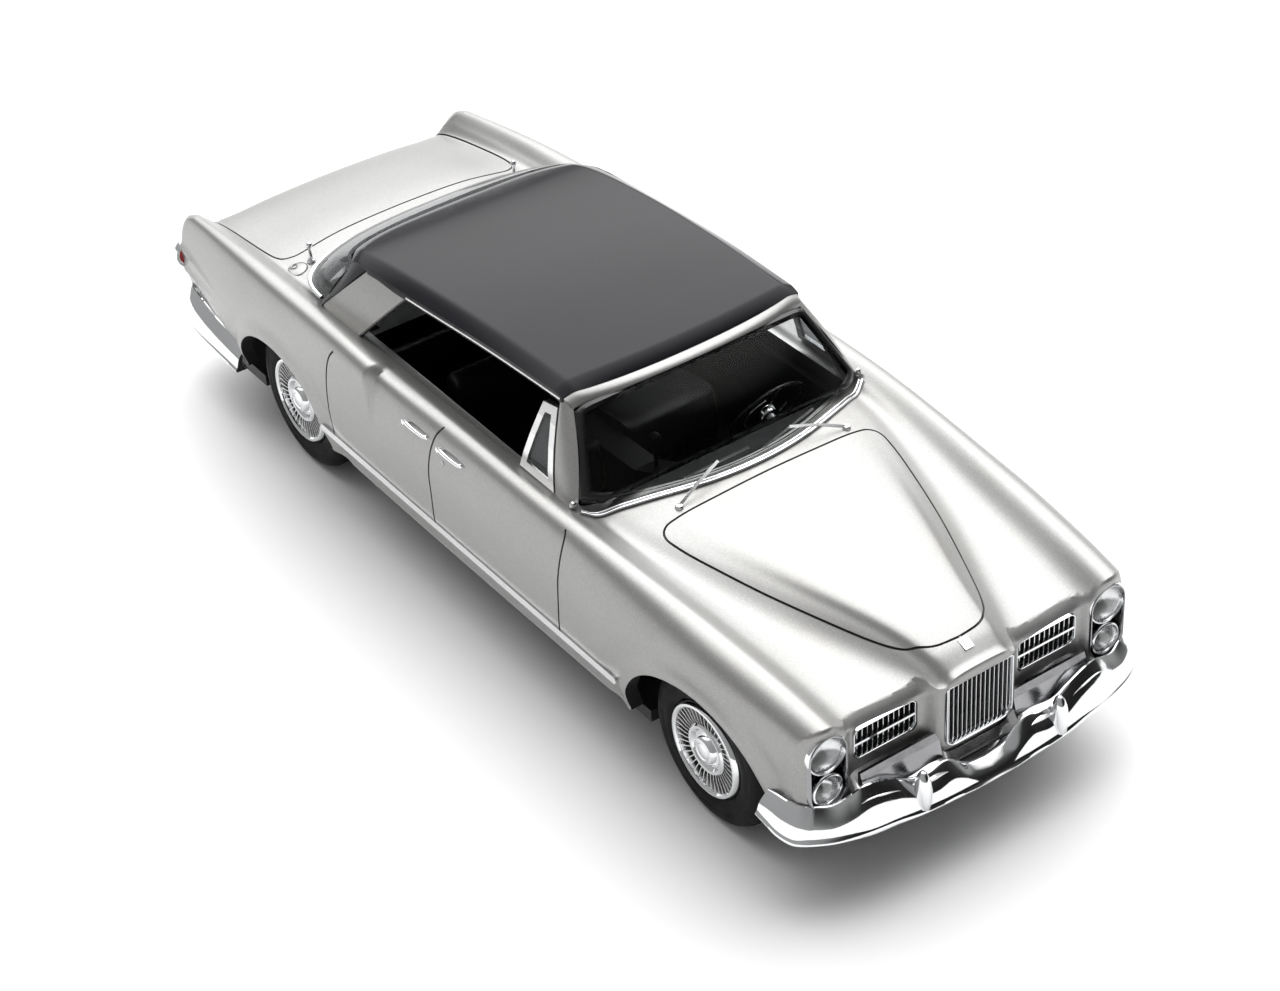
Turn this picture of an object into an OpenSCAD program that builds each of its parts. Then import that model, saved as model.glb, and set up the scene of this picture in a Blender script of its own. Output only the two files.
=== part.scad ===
// Diecast collector car, about 1:43: a pillarless four-door saloon with two rolling axles.
// Millimetres. +X points to the front bumper, +Y to the car's left, +Z up.
// The origin is on the ground under the middle of the car.

/* [Body] */
// Wall thickness of the body casting
wall = 1.2; // [0.9:0.1:1.5]
// Width of the engraved door, bonnet and boot lines
line_w = 0.28; // [0.2:0.02:0.4]
// Depth of those lines
line_depth = 0.3; // [0.2:0.05:0.5]
// Wall thickness of the roof casting
roof_t = 0.9; // [0.7:0.1:1.2]

/* [Wheels] */
// Distance between the two axles
wheelbase = 73.7; // [73:0.1:74.4]
// Height of the axles above the ground
axle_z = 8.25; // [8.2:0.01:8.3]
// Outer radius of the tyres
tyre_r = 8.25; // [8.0:0.05:8.25]
// Width of the tyres
tyre_w = 4.4; // [4:0.1:4.6]
// Inner radius of the tyres, where they sit on the rims
rim_r = 5.1; // [5:0.1:5.3]
// Distance of the tyres' middle from the car's centre line
track_half = 16.9; // [16.6:0.1:17]
// Number of slots in each hubcap
hubcap_slots = 36; // [24:2:40]

/* [Axles] */
// Radius of the axle rods
axle_r = 1; // [0.8:0.05:1.1]
// Running clearance between an axle rod and its bearings
axle_gap = 0.05; // [0.03:0.01:0.08]

/* [Chassis] */
// Height of the chassis underside above the ground
chassis_z = 4.2; // [4:0.1:4.4]
// Thickness of the chassis plate
chassis_t = 1.4; // [1.2:0.1:1.6]
// Radius of the two plinth screw holes
plinth_r = 1; // [0.8:0.05:1.2]
// Depth of the plinth screw holes
plinth_depth = 4.5; // [4:0.1:5]

/* [Front] */
// Number of upright bars in the middle grille
grille_bars = 14; // [10:1:16]
// Number of slats in each row of a side grille
slats = 11; // [8:1:13]

/* [Hidden] */
$fn = 48;
axle_front = [41.45, 0, axle_z];
axle_rear = [41.45 - wheelbase, 0, axle_z];

// ---------------------------------------------------------------- colours
SILVER = [0.78, 0.78, 0.77];
BLACK = [0.08, 0.08, 0.09];
CHROME = [0.88, 0.89, 0.91];
GUNMETAL = [0.36, 0.36, 0.37];
TYRE = [0.13, 0.13, 0.13];
GLASS = [0.35, 0.38, 0.4, 0.45];
LAMP = [0.92, 0.94, 0.96, 0.6];
SMOKE = [0.12, 0.13, 0.14, 0.6];
RED = [0.65, 0.08, 0.06];

// ---------------------------------------------------------------- curves
// Value of column c at x on a smooth curve through the rows of a key list.
function key_slope(keys, i, c) =
    let (a = max(i - 1, 0), b = min(i + 1, len(keys) - 1))
    (keys[b][c] - keys[a][c]) / (keys[b][0] - keys[a][0]);
function hermite(a, b, slope_a, slope_b, t) =
    (2 * t^3 - 3 * t^2 + 1) * a + (t^3 - 2 * t^2 + t) * slope_a
    + (3 * t^2 - 2 * t^3) * b + (t^3 - t^2) * slope_b;
function keyed(keys, x, c, i = 0) =
    x <= keys[0][0] ? keys[0][c] :
    i >= len(keys) - 1 ? keys[len(keys) - 1][c] :
    x > keys[i + 1][0] ? keyed(keys, x, c, i + 1) :
    let (h = keys[i + 1][0] - keys[i][0])
    hermite(keys[i][c], keys[i + 1][c], key_slope(keys, i, c) * h, key_slope(keys, i + 1, c) * h,
        (x - keys[i][0]) / h);

// The body's long lines, from the middle of the bonnet out to the shoulder and down to the hem.
// Each row is [x, y, z] on the car's left half.
MIDDLE = [[-57.6, 0, 18.0], [-54, 0, 19.6], [-47, 0, 21.1], [-39, 0, 22.2], [-20, 0, 22.8],
    [20, 0, 23.3], [27, 0, 23.1], [40, 0, 22.4], [50, 0, 21.3], [55, 0, 20.2], [57, 0, 19.2]];
BULGE = [[-57.6, 7, 17.9], [-54, 7.3, 19.4], [-47, 7.6, 20.9], [-39, 8, 22.0], [-20, 9, 22.5],
    [20, 9, 23.0], [27, 8.6, 22.8], [40, 6.4, 22.2], [50, 4, 21.1], [55, 3.1, 20.0], [57, 2.8, 19.0]];
BULGE_EDGE = [[-57.6, 13.2, 17.5], [-54, 13.4, 18.9], [-47, 13.6, 20.2], [-39, 13.8, 21.2], [-20, 14, 21.8],
    [20, 13.4, 22.3], [27, 12.6, 22.1], [40, 8.8, 21.3], [50, 5.5, 20.2], [55, 4.3, 19.1], [57, 4, 18.2]];
VALLEY = [[-57.6, 15, 17.5], [-54, 15.1, 18.8], [-47, 15.4, 20.0], [-39, 15.7, 20.9], [-20, 16, 21.4],
    [20, 15.6, 21.6], [27, 14.9, 21.3], [40, 11.8, 19.9], [50, 8.4, 18.7], [55, 6.7, 18.1], [57, 6.2, 17.8]];
INNER = [[-57.6, 16.3, 18.8], [-54, 16.4, 19.9], [-39, 16.8, 21.4], [-20, 17, 22.0],
    [20, 17, 22.1], [27, 16.4, 21.6], [40, 14.8, 20.2], [50, 13.6, 18.9], [57, 12.9, 17.5]];
CROWN = [[-57.6, 17.5, 20.4], [-50, 18, 21.4], [-39, 18.4, 22.4], [-20, 18.7, 22.9], [-10, 18.7, 22.7],
    [20, 18.7, 22.8], [30, 18.2, 22.4], [40, 17.4, 21.7], [50, 16.7, 20.7], [57, 16.2, 19.6]];
SHOULDER = [[-57.6, 18.4, 19.8], [-39, 19.9, 21.6], [-20, 20.3, 22.1], [0, 20.2, 21.8],
    [20, 20.2, 21.8], [40, 19.6, 20.7], [50, 19, 19.7], [57, 18.3, 18.8]];
FLANK = [[-57.6, 18.8, 16.6], [-39, 20.7, 17.6], [-20, 21.1, 18], [20, 21.1, 18], [40, 20.8, 17.5],
    [57, 19.1, 16.4]];
WAIST = [[-57.6, 18.8, 14], [-39, 20.8, 14], [-20, 21.25, 14], [20, 21.25, 14], [40, 21.05, 14],
    [57, 19.1, 14]];
ROCKER = [[-57.6, 18.4, 10.8], [-39, 20.6, 10.4], [-20, 21.0, 10.4], [20, 21.0, 10.4], [40, 20.8, 10.4],
    [57, 18.8, 10.8]];
HEM = [[-57.6, 17.6, 9.2], [-39, 19.8, 7.7], [-20, 20.2, 7.4], [20, 20.2, 7.4], [40, 20.0, 7.8],
    [57, 18.0, 9.2]];
LINES = [MIDDLE, BULGE, BULGE_EDGE, VALLEY, INNER, CROWN, SHOULDER, FLANK, WAIST, ROCKER, HEM];
// Which way each line moves when the skin is set in, as [y, z].
INWARD = [[0, -1], [0, -1], [-0.2, -1], [0, -1], [0.2, -1], [0, -1], [-0.7, -0.7],
    [-1, 0], [-1, 0], [-1, 0], [-1, 0]];
body_front = 56.6;
body_rear = -57.6;

// Catmull-Rom points through p, with `cuts` pieces between neighbours.
function rounded_chain(p, cuts) = [
    for (i = [0 : len(p) - 2]) for (k = [0 : cuts - 1])
        let (a = p[max(i - 1, 0)], b = p[i], c = p[i + 1], d = p[min(i + 2, len(p) - 1)], t = k / cuts)
        0.5 * (2 * b + (c - a) * t + (2 * a - 5 * b + 4 * c - d) * t^2 + (3 * b - a - 3 * c + d) * t^3),
    p[len(p) - 1]];
// Left half of the body's section at x, set in by d.
function half_section(x, d = 0, cuts = 2) =
    rounded_chain([for (i = [0 : len(LINES) - 1])
        [keyed(LINES[i], x, 1), keyed(LINES[i], x, 2)] + d * INWARD[i]], cuts);
// Whole section as 3-D points, from the right hem over the top to the left hem.
function body_ring(x, d, low) =
    let (h = half_section(x, d), n = len(h), last = h[n - 1])
    concat([[x, -last[0], low]], [for (i = [n - 1 : -1 : 1]) [x, -h[i][0], h[i][1]]],
        [for (p = h) [x, p[0], p[1]]], [[x, last[0], low]]);

// ---------------------------------------------------------------- solids from points
// Closed solid through equal rings of points.
module loft(rings) {
    n = len(rings[0]);
    // Wind the faces outwards whichever way the rings run.
    c = [for (i = [0 : 2]) [for (p = rings[0]) p[i]] * [for (p = rings[0]) 1] / n];
    spin = [for (i = [1 : n - 1]) cross(rings[0][i - 1] - c, rings[0][i] - c)];
    area = [for (i = [0 : 2]) [for (q = spin) q[i]] * [for (q = spin) 1]];
    outward = area * (rings[1][0] - rings[0][0]) < 0;
    points = outward ? rings : [for (r = rings) [for (i = [n - 1 : -1 : 0]) r[i]]];
    polyhedron(
        points = [for (r = points) each r],
        faces = concat([[for (i = [n - 1 : -1 : 0]) i]],
            [for (k = [0 : len(rings) - 2]) for (i = [0 : n - 1])
                let (a = k * n + i, b = k * n + (i + 1) % n) each [[a, b, b + n], [a, b + n, a + n]]],
            [[for (i = [0 : n - 1]) (len(rings) - 1) * n + i]]));
}
// Closed sheet between the surfaces f(u, v) and g(u, v), with u and v from 0 to 1.
module sheet_between(f, g, nu, nv) {
    loft([for (i = [0 : nu]) concat(
        [for (j = [0 : nv]) f(i / nu, j / nv)],
        [for (j = [nv : -1 : 0]) g(i / nu, j / nv)])]);
}
module sheet(f, nu, nv, push) sheet_between(f, function (u, v) f(u, v) + push, nu, nv);
// A free-form shell, held as one mesh.
module free_form() resize([0, 0, 0]) children();
// Profile drawn in the X-Z plane, carried along Y between y0 and y1.
module along_y(y0, y1) {
    translate([0, y1, 0]) rotate([90, 0, 0]) linear_extrude(y1 - y0) children();
}
// Profile drawn in the Y-Z plane, carried along X between x0 and x1.
module along_x(x0, x1) {
    translate([x0, 0, 0]) rotate([90, 0, 90]) linear_extrude(x1 - x0) children();
}
module both_sides() {
    children();
    mirror([0, 1, 0]) children();
}

// ---------------------------------------------------------------- body casting
function inset_ring(x, d, low_drop) = body_ring(x, d, keyed(HEM, x, 2) - low_drop);
// The lower body as one solid, set in by d, with its two ends rounded over.
module body_block(d, low_drop, x0, x1, steps) {
    loft(concat(
        [inset_ring(x0, d + 0.9, low_drop), inset_ring(x0 + 0.3, d + 0.35, low_drop)],
        [for (i = [0 : steps]) inset_ring(x0 + 1 + (x1 - x0 - 2) * i / steps, d, low_drop)],
        [inset_ring(x1 - 0.3, d + 0.35, low_drop), inset_ring(x1, d + 0.9, low_drop)]));
}
// Wheel openings: flattened arches, lower than the tyres' tops.
arch_front = [41.7, 7.9, 10.1, 8.5]; // middle x, spring line z, half width, rise
arch_rear = [-33, 7.9, 9.6, 7.7];
module arch_outline(a, grow = 0) {
    translate([a[0], a[1]]) scale([a[2] + grow, a[3] + grow]) circle(1, $fn = 40);
    translate([a[0] - a[2] - grow, 0]) square([2 * (a[2] + grow), a[1]]);
}

// Windscreen surface: u runs from the cowl (0) to the header (1), s across from -1 to 1.
function screen(u, s) = [
    24.4 - 5.1 * s^2 + u * (-6.5 + 2.9 * s^2) + 0.45 * sin(180 * u),
    s * (16.9 - 3.5 * u),
    23.1 - 1.1 * s^2 + u * (7.5 + 0.4 * s^2) + 0.35 * sin(180 * u)];
// Rear window surface: wraps round the corners; s is -1 and 1 at its two side edges.
function rear_screen(u, s) =
    let (c = pow(abs(cos(90 * s)), 0.65), w = pow(abs(sin(90 * s)), 0.8) * sign(s))
    [-29 - 7.6 * c + u * (3.6 + 4.9 * c) + 0.3 * sin(180 * u) * -c,
     w * (16.4 - 2.2 * u),
     22.3 + 0.25 * c + u * (4.9 + 0.3 * c) + 0.45 * sin(180 * u)];
// Plan of the cabin opening, inset by g from the two glass lines.
function cabin_plan(g) = concat(
    [for (i = [0 : 12]) let (s = -1 + i / 6, p = screen(0, s)) [p[0] - g, p[1] * (1 - g / 17)]],
    [for (i = [0 : 16]) let (s = 1 - i / 8, p = rear_screen(0, s)) [p[0] + g, p[1] * (1 - g / 17)]]);

// Greenhouse side, as a curved band in the Y-Z plane.
SIDE = [[17.35, 20.5], [17.3, 22], [16.75, 24], [16.0, 26], [15.1, 28], [14.1, 30], [13.7, 30.7]];
module side_band(out = 0, t = 0.8) {
    polygon(concat([for (p = SIDE) p + [out, 0]],
        [for (i = [len(SIDE) - 1 : -1 : 0]) SIDE[i] + [out - t, 0]]));
}
// A piece of the greenhouse side with the outline of its children, drawn in X-Z.
module side_panel(out = 0, t = 0.8) {
    both_sides() intersection() {
        along_x(-40, 30) side_band(out, t);
        along_y(5, 25) children();
    }
}
A_PILLAR = [[19.6, 21], [16.6, 21], [16.3, 22.2], [13.7, 29.6], [14.2, 30.7], [16.2, 30.7]];
QUARTER = [[-14.2, 27.8], [-21.6, 27.3], [-27.2, 22.2], [-27.2, 20.8], [-20.7, 20.8]];
C_PILLAR = [[-13.6, 28.4], [-14.2, 27.8], [-21.6, 27.3], [-27.2, 22.2], [-29, 22], [-28.9, 22.9],
    [-26, 27.2], [-24, 28.2]];

// Lines engraved in the skin. Door lines are drawn in X-Z, bonnet and boot lines in X-Y.
DOOR_REAR = [[-17.2, 23.4], [-18.8, 22.2], [-19.9, 21], [-20.8, 18], [-21.2, 14.5], [-21.4, 10.4]];
DOOR_SPLIT = [[1.4, 23.4], [0.1, 22.3], [-0.6, 20.8], [-1, 17.6], [-1, 14], [-1.2, 10.4]];
DOOR_FRONT = [[19.8, 23.4], [21.4, 22.6], [21.9, 21.6], [21.7, 19], [21.5, 15], [21, 10.4]];
BONNET = [[27, 0], [26.9, 10.5], [26.7, 12.6], [28, 13.2], [33, 12], [40, 9.9], [47, 7.3], [52, 5],
    [54, 3.6], [54.7, 0]];
BOOT = [[-39.3, 0], [-39.2, 12], [-39.1, 14.3], [-40, 15.4], [-44, 15.6], [-50, 15.4], [-58.5, 15]];
// A strip of width w along the chain of points.
function side_step(p, i) = let (d = p[min(i + 1, len(p) - 1)] - p[max(i - 1, 0)]) [-d[1], d[0]] / norm(d);
module stroke(p, w) {
    polygon(concat([for (i = [0 : len(p) - 1]) p[i] + side_step(p, i) * w / 2],
        [for (i = [len(p) - 1 : -1 : 0]) p[i] - side_step(p, i) * w / 2]));
}
function mirrored_chain(p) = concat([for (i = [len(p) - 1 : -1 : 1]) [p[i][0], -p[i][1]]], p);
module engraving() {
    intersection() {
        union() {
            both_sides() along_y(14, 25)
                for (line = [DOOR_REAR, DOOR_SPLIT, DOOR_FRONT]) stroke(rounded_chain(line, 2), line_w);
            translate([0, 0, 15]) linear_extrude(12) {
                difference() {
                    offset(delta = line_w / 2) polygon(mirrored_chain(rounded_chain(BONNET, 2)));
                    offset(delta = -line_w / 2) polygon(mirrored_chain(rounded_chain(BONNET, 2)));
                }
                stroke(mirrored_chain(rounded_chain(BOOT, 2)), line_w);
            }
        }
        difference() {
            body_block(-0.5, 0, body_rear - 1, body_front + 1, 20);
            body_block(line_depth, 1, body_rear, body_front, 30);
        }
    }
}
// Front openings, drawn in Y-Z.
centre_grille = [7.9, 11.0, 18.2];   // width, low z, high z
side_grille = [5.9, 13.0, 13.5, 17.0]; // inner y, outer y, low z, high z
lamp_y = 16.6;
lamp_high_z = 16.5;
lamp_low_z = 12.2;
module stadium(y, z0, z1, r) {
    for (z = [z0, z1]) translate([y, z]) circle(r);
    translate([y - r, z0]) square([2 * r, z1 - z0]);
}
module nose_openings() {
    translate([-centre_grille[0] / 2, centre_grille[1] - 6])
        square([centre_grille[0], centre_grille[2] - centre_grille[1] + 6]);
    both_sides_2d() {
        translate([side_grille[0], side_grille[2]])
            square([side_grille[1] - side_grille[0], side_grille[3] - side_grille[2]]);
        stadium(lamp_y, lamp_low_z, lamp_high_z, 2.35);
    }
}
module both_sides_2d() {
    children();
    mirror([1, 0]) children();
}
screw_x = [26, -42];
// Room in the casting for the parts that are let into it.
module trim_rebates() {
    screen_piece(1.2, 1.78) windscreen_outline(1.18);
    rear_band(-0.1, 0.06, -0.6, 0.45, 1);
    both_sides() sill_bar(0.03);
    loft(bar_rings(FRONT_BAR, FRONT_ENDS, 1, 0.06));
    loft(bar_rings(REAR_BAR, REAR_ENDS, -1, 0.06));
}
module body_shell() color(SILVER) {
    free_form() difference() {
        union() {
            difference() {
                body_block(0, 0.3, body_rear, body_front, 30);
                body_block(wall, 12, body_rear + 1.6, body_front - 1.8, 16);
                translate([0, 0, 15]) linear_extrude(20) polygon(cabin_plan(0.9));
                for (a = [arch_front, arch_rear]) along_y(-25, 25) arch_outline(a);
                along_x(body_front - 3, body_front + 2) nose_openings();
                engraving();
                trim_rebates();
            }
            difference() {
                union() {
                    side_panel() polygon(A_PILLAR);
                    side_panel() polygon(QUARTER);
                    sheet(function (u, v) screen(0.97 + 0.06 * u, 2.12 * v - 1.06), 1, 12, [-0.9, 0, -0.5]);
                }
                trim_rebates();
                above_roof_lining(0.08);
            }
            for (x = screw_x) translate([x, 0, chassis_z + chassis_t])
                cylinder(r = 2.2, h = keyed(MIDDLE, x, 2) - wall / 2 - chassis_z - chassis_t);
        }
        for (x = screw_x) translate([x, 0, 0]) cylinder(r = 0.95, h = 14);
    }
}

// ---------------------------------------------------------------- roof casting
ROOF_TOP = [[-28.4, 27.7], [-22, 29.3], [-16, 30.5], [-8, 31.6], [0, 32.05], [8, 32.1], [16.9, 31.75]];
ROOF_EDGE = [[-28.4, 27.0], [-22, 27.7], [-13.5, 28.5], [-2.4, 29.8], [6.5, 30.5], [16.9, 30.75]];
ROOF_HALF = [[-28.4, 14.2], [-14, 14.6], [0, 14.4], [16.9, 13.9]];
function roof(u, s) =
    let (x = (1 - u) * (16.9 - 2.4 * s^2) + u * (-28.4 + 2.6 * s^4), top = keyed(ROOF_TOP, x, 1))
    [x, s * keyed(ROOF_HALF, x, 1), top - (top - keyed(ROOF_EDGE, x, 1)) * pow(abs(s), 2.6)];
// Everything from a small gap below the roof's lining up, to keep the casting clear of the roof.
module above_roof_lining(gap) sheet(
    function (u, v) roof(u, 2.02 * v - 1.01) + [0.15 - 0.3 * u, 0, 4], 16, 20, [0, 0, -roof_t - 4 - gap]);
module roof_cap() color(BLACK) free_form() {
    sheet(function (u, v) roof(u, 2 * v - 1), 16, 20, [0, 0, -roof_t]);
    side_panel() polygon(C_PILLAR);
}

// ---------------------------------------------------------------- glass and its trim
// Outline of a screen seen along X: a trapezium with round corners, grown by g.
module windscreen_outline(g) {
    $fn = 24;
    offset(g) offset(1.6) offset(-1.6)
        polygon([[-16.1, 22.9], [-9, 23.6], [0, 23.9], [9, 23.6], [16.1, 22.9], [13.1, 29.3], [0, 29.75],
            [-13.1, 29.3]]);
}
module screen_piece(out, t) {
    free_form() intersection() {
        sheet(function (u, v) screen(1.25 * u - 0.12, 2.1 * v - 1.05) + [out, 0, out * 0.6], 4, 16,
            [-t, 0, -t * 0.6]);
        along_x(8, 30) children();
    }
}
module windscreen() color(GLASS) screen_piece(0, 0.4) windscreen_outline(0);
module windscreen_gasket() color(BLACK) screen_piece(0.3, 0.8)
    difference() {
        windscreen_outline(0.6);
        windscreen_outline(0.02);
    }
module windscreen_trim() color(CHROME) screen_piece(0.4, 0.8) intersection() {
    difference() {
        windscreen_outline(1.15);
        windscreen_outline(0.62);
    }
    translate([-20, 20]) square([40, 4.6]);
}
// The rear window surface moved towards the cabin by t.
function rear_inner(u, s, t) = rear_screen(u, s) + t * [0.6 * cos(90 * s), -sin(90 * s), -0.5];
module rear_band(u0, u1, t0, t1, nu) free_form() sheet_between(
    function (u, v) rear_inner(u0 + (u1 - u0) * u, 1.98 * v - 0.99, t0),
    function (u, v) rear_inner(u0 + (u1 - u0) * u, 1.98 * v - 0.99, t1), nu, 24);
module rear_window() color(GLASS) rear_band(0.02, 0.82, 0, 0.4, 4);
module rear_window_trim() color(CHROME) rear_band(-0.08, 0.018, -0.4, 0.25, 1);
// Quarter light frames: flat chrome strips with dark glass.
VENT = [[10.2, 22.4], [16, 22.35], [13.4, 29.5], [11.2, 29.2]];
module vent_outline(g) { offset(delta = g) polygon(VENT); }
module one_side(side) { mirror([0, side < 0 ? 1 : 0, 0]) children(); }
module vent_panel(side, out, t) one_side(side) intersection() {
    along_x(5, 20) side_band(out, t);
    along_y(10, 20) children();
}
module vent_frame(side) color(CHROME) vent_panel(side, 0.1, 0.6)
    difference() {
        vent_outline(0);
        vent_outline(-0.8);
    }
module vent_glass(side) color(SMOKE) vent_panel(side, -0.1, 0.3) vent_outline(-0.81);
// Bright rails along the tops of the side openings.
RAIL = [[-13.8, 27.4], [-4, 28.6], [4, 29.3], [11, 29.6], [11, 29.2], [4, 28.9], [-4, 28.2], [-13.8, 27]];
module window_rails() color(CHROME) side_panel(0.15, 0.6) polygon(RAIL);

// ---------------------------------------------------------------- chassis
module wheel_notches() {
    for (a = [axle_front, axle_rear], s = [-1, 1])
        translate([a[0] - 10.2, s > 0 ? 13.6 : -25]) square([20.4, 11.4]);
}
plinth_x = [33, -50];
pad_z = chassis_z - 0.6; // the pads that a plinth touches
module chassis_plate() color(GUNMETAL) difference() {
    union() {
        translate([0, 0, chassis_z]) linear_extrude(chassis_t) difference() {
            polygon([[-54, -15], [-54, 15], [-50, 18], [46, 18], [52, 15], [52, -15], [46, -18], [-50, -18]]);
            wheel_notches();
        }
        for (a = [axle_front, axle_rear], y = [-13.2, 11])
            translate([a[0] - 2.2, y, chassis_z]) cube([4.4, 2.2, axle_z + 2.2 - chassis_z]);
        for (x = plinth_x) translate([x, 0, pad_z]) cylinder(r = 2.4, h = plinth_depth + 1.5);
        translate([1, -3, chassis_z - 0.5]) cube([23, 6, 0.6]);
        for (y = [-12, 11]) translate([-26, y, chassis_z - 0.4]) cube([60, 1, 0.5]);
    }
    for (a = [axle_front, axle_rear])
        translate([a[0], 20, a[2]]) rotate([90, 0, 0]) cylinder(r = axle_r + axle_gap, h = 40);
    for (x = plinth_x) translate([x, 0, pad_z - 1]) cylinder(r = plinth_r, h = plinth_depth + 1);
    for (x = screw_x) translate([x, 0, chassis_z - 1]) cylinder(r = 1, h = 4);
}
module base_screws() color(CHROME) for (x = screw_x) translate([x, 0, chassis_z]) {
    difference() {
        translate([0, 0, -0.8]) cylinder(r = 1.7, h = 0.8);
        translate([-1.2, -0.2, -0.9]) cube([2.4, 0.4, 0.5]);
    }
    cylinder(r = 0.9, h = 8);
}
// Pipe with an open tail end and a silencer, drawn from the axis out.
module exhaust_pipes() color(GUNMETAL) for (y = [-8, 8])
    translate([-57, y, chassis_z - 1]) rotate([0, 90, 0]) rotate_extrude() polygon([
        [0, 2.5], [0.4, 2.5], [0.4, 0], [0.6, 0], [0.6, 38], [1, 38.6], [1, 51.4], [0.6, 52], [0.6, 60],
        [0, 60]]);

// ---------------------------------------------------------------- wheels
module wheel_at(a, side) {
    translate([a[0], side * track_half, a[2]]) rotate([side > 0 ? -90 : 90, 0, 0]) children();
}
// Profiles run from the wheel's middle plane outwards along +Z.
module tyre(a, side) color(TYRE) wheel_at(a, side) rotate_extrude($fn = 72) polygon([
    [rim_r, -tyre_w / 2 + 0.5], [tyre_r - 1.4, -tyre_w / 2], [tyre_r - 0.5, -tyre_w / 2 + 0.35],
    [tyre_r, -tyre_w / 2 + 1.1], [tyre_r, tyre_w / 2 - 1.1], [tyre_r - 0.5, tyre_w / 2 - 0.35],
    [tyre_r - 1.4, tyre_w / 2], [rim_r, tyre_w / 2 - 0.5]]);
module wheel_disc(a, side) color(CHROME) wheel_at(a, side) difference() {
    rotate_extrude($fn = 72) polygon([
        [axle_r, -1.6], [rim_r - 0.5, -1.6], [rim_r, -1.7], [rim_r, 1.7], [rim_r - 0.1, 2.3],
        [rim_r - 0.5, 2.4], [rim_r - 0.9, 2.1], [2.9, 1.7], [2.7, 2.0], [2.1, 2.1], [1.9, 1.8],
        [1.6, 1.8], [1.3, 2.3], [0.7, 2.5],
        [0, 2.5], [0, 1.2], [axle_r, 1.2]]);
    for (i = [0 : hubcap_slots - 1]) rotate(i * 360 / hubcap_slots)
        translate([3.1, -0.1, 1.5]) cube([1.0, 0.2, 2]);
}
module axle(a) color(GUNMETAL) translate([a[0], track_half + 1.2, a[2]])
    rotate([90, 0, 0]) cylinder(r = axle_r, h = 2 * track_half + 2.4);

// ---------------------------------------------------------------- interior
floor_z = chassis_z + chassis_t;
module interior_tub() color(BLACK) {
    difference() {
        union() {
            translate([-23, -16.2, floor_z]) cube([45.8, 32.4, 14]);
            translate([-34.5, -13, 18.7]) cube([12, 26, 0.9]);
        }
        translate([-22.2, -15.4, floor_z + 0.8]) cube([44.2, 30.8, 20]);
    }
}
module dashboard() color(BLACK) along_y(-14.6, 14.6)
    polygon([[18.2, 15], [21.9, 15], [21.9, 19.7], [18.6, 20.8], [17.6, 20.2], [17.9, 17]]);
module centre_console() color(BLACK) {
    along_y(-1.5, 1.5) polygon([[-10.9, floor_z + 0.8], [-10.9, 11.5], [6, 12], [14, 15.5], [17.8, 17.5],
        [17.8, floor_z + 0.8]]);
    translate([8, 0, 12.5]) cylinder(r = 0.25, h = 3.6);
    translate([8, 0, 16.4]) sphere(0.6);
}
wheel_hub = [15.6, 8.5, 19.9];
column_tilt = 118; // angle from upright of the line from the wheel down to the dashboard
module along_column() translate(wheel_hub) rotate([0, column_tilt, 0]) children();
module steering_column() color(BLACK) along_column() {
    translate([0, 0, 0.5]) cylinder(r = 0.55, h = 1.8);
    for (a = [35, -35]) rotate([0, 90, a + 90]) translate([-1.2, 0, 0]) cylinder(r = 0.14, h = 2.6);
}
module steering_wheel() color(BLACK) along_column() {
    rotate_extrude($fn = 60) translate([4.3, 0]) circle(0.28, $fn = 16);
    for (a = [0, 180]) rotate(a + 90) translate([0.4, -0.25, -0.1]) cube([3.9, 0.5, 0.25]);
    translate([0, 0, -0.45]) cylinder(r = 0.9, h = 0.95);
}
// Seats, drawn from the side: a cushion with a leaning back, corners rounded by 0.8.
module seat(x, y0, y1, length, seat_h, back_h, lean) along_y(y0, y1) offset(0.8, $fn = 16) offset(delta = -0.8)
    polygon([[x, floor_z + 0.8], [x + length, floor_z + 0.8], [x + length, seat_h], [x + 3.4, seat_h - 0.4],
        [x + 3 - lean, back_h], [x + 0.4 - lean, back_h], [x, seat_h - 1]]);
module front_seat(side) color(BLACK) seat(-9.5, side * 7.4 - 5.6, side * 7.4 + 5.6, 10.5, 12.6, 20.6, 1.6);
module rear_seat() color(BLACK) seat(-20.7, -14.2, 14.2, 9.4, 12.4, 18.6, 0.8);

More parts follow.
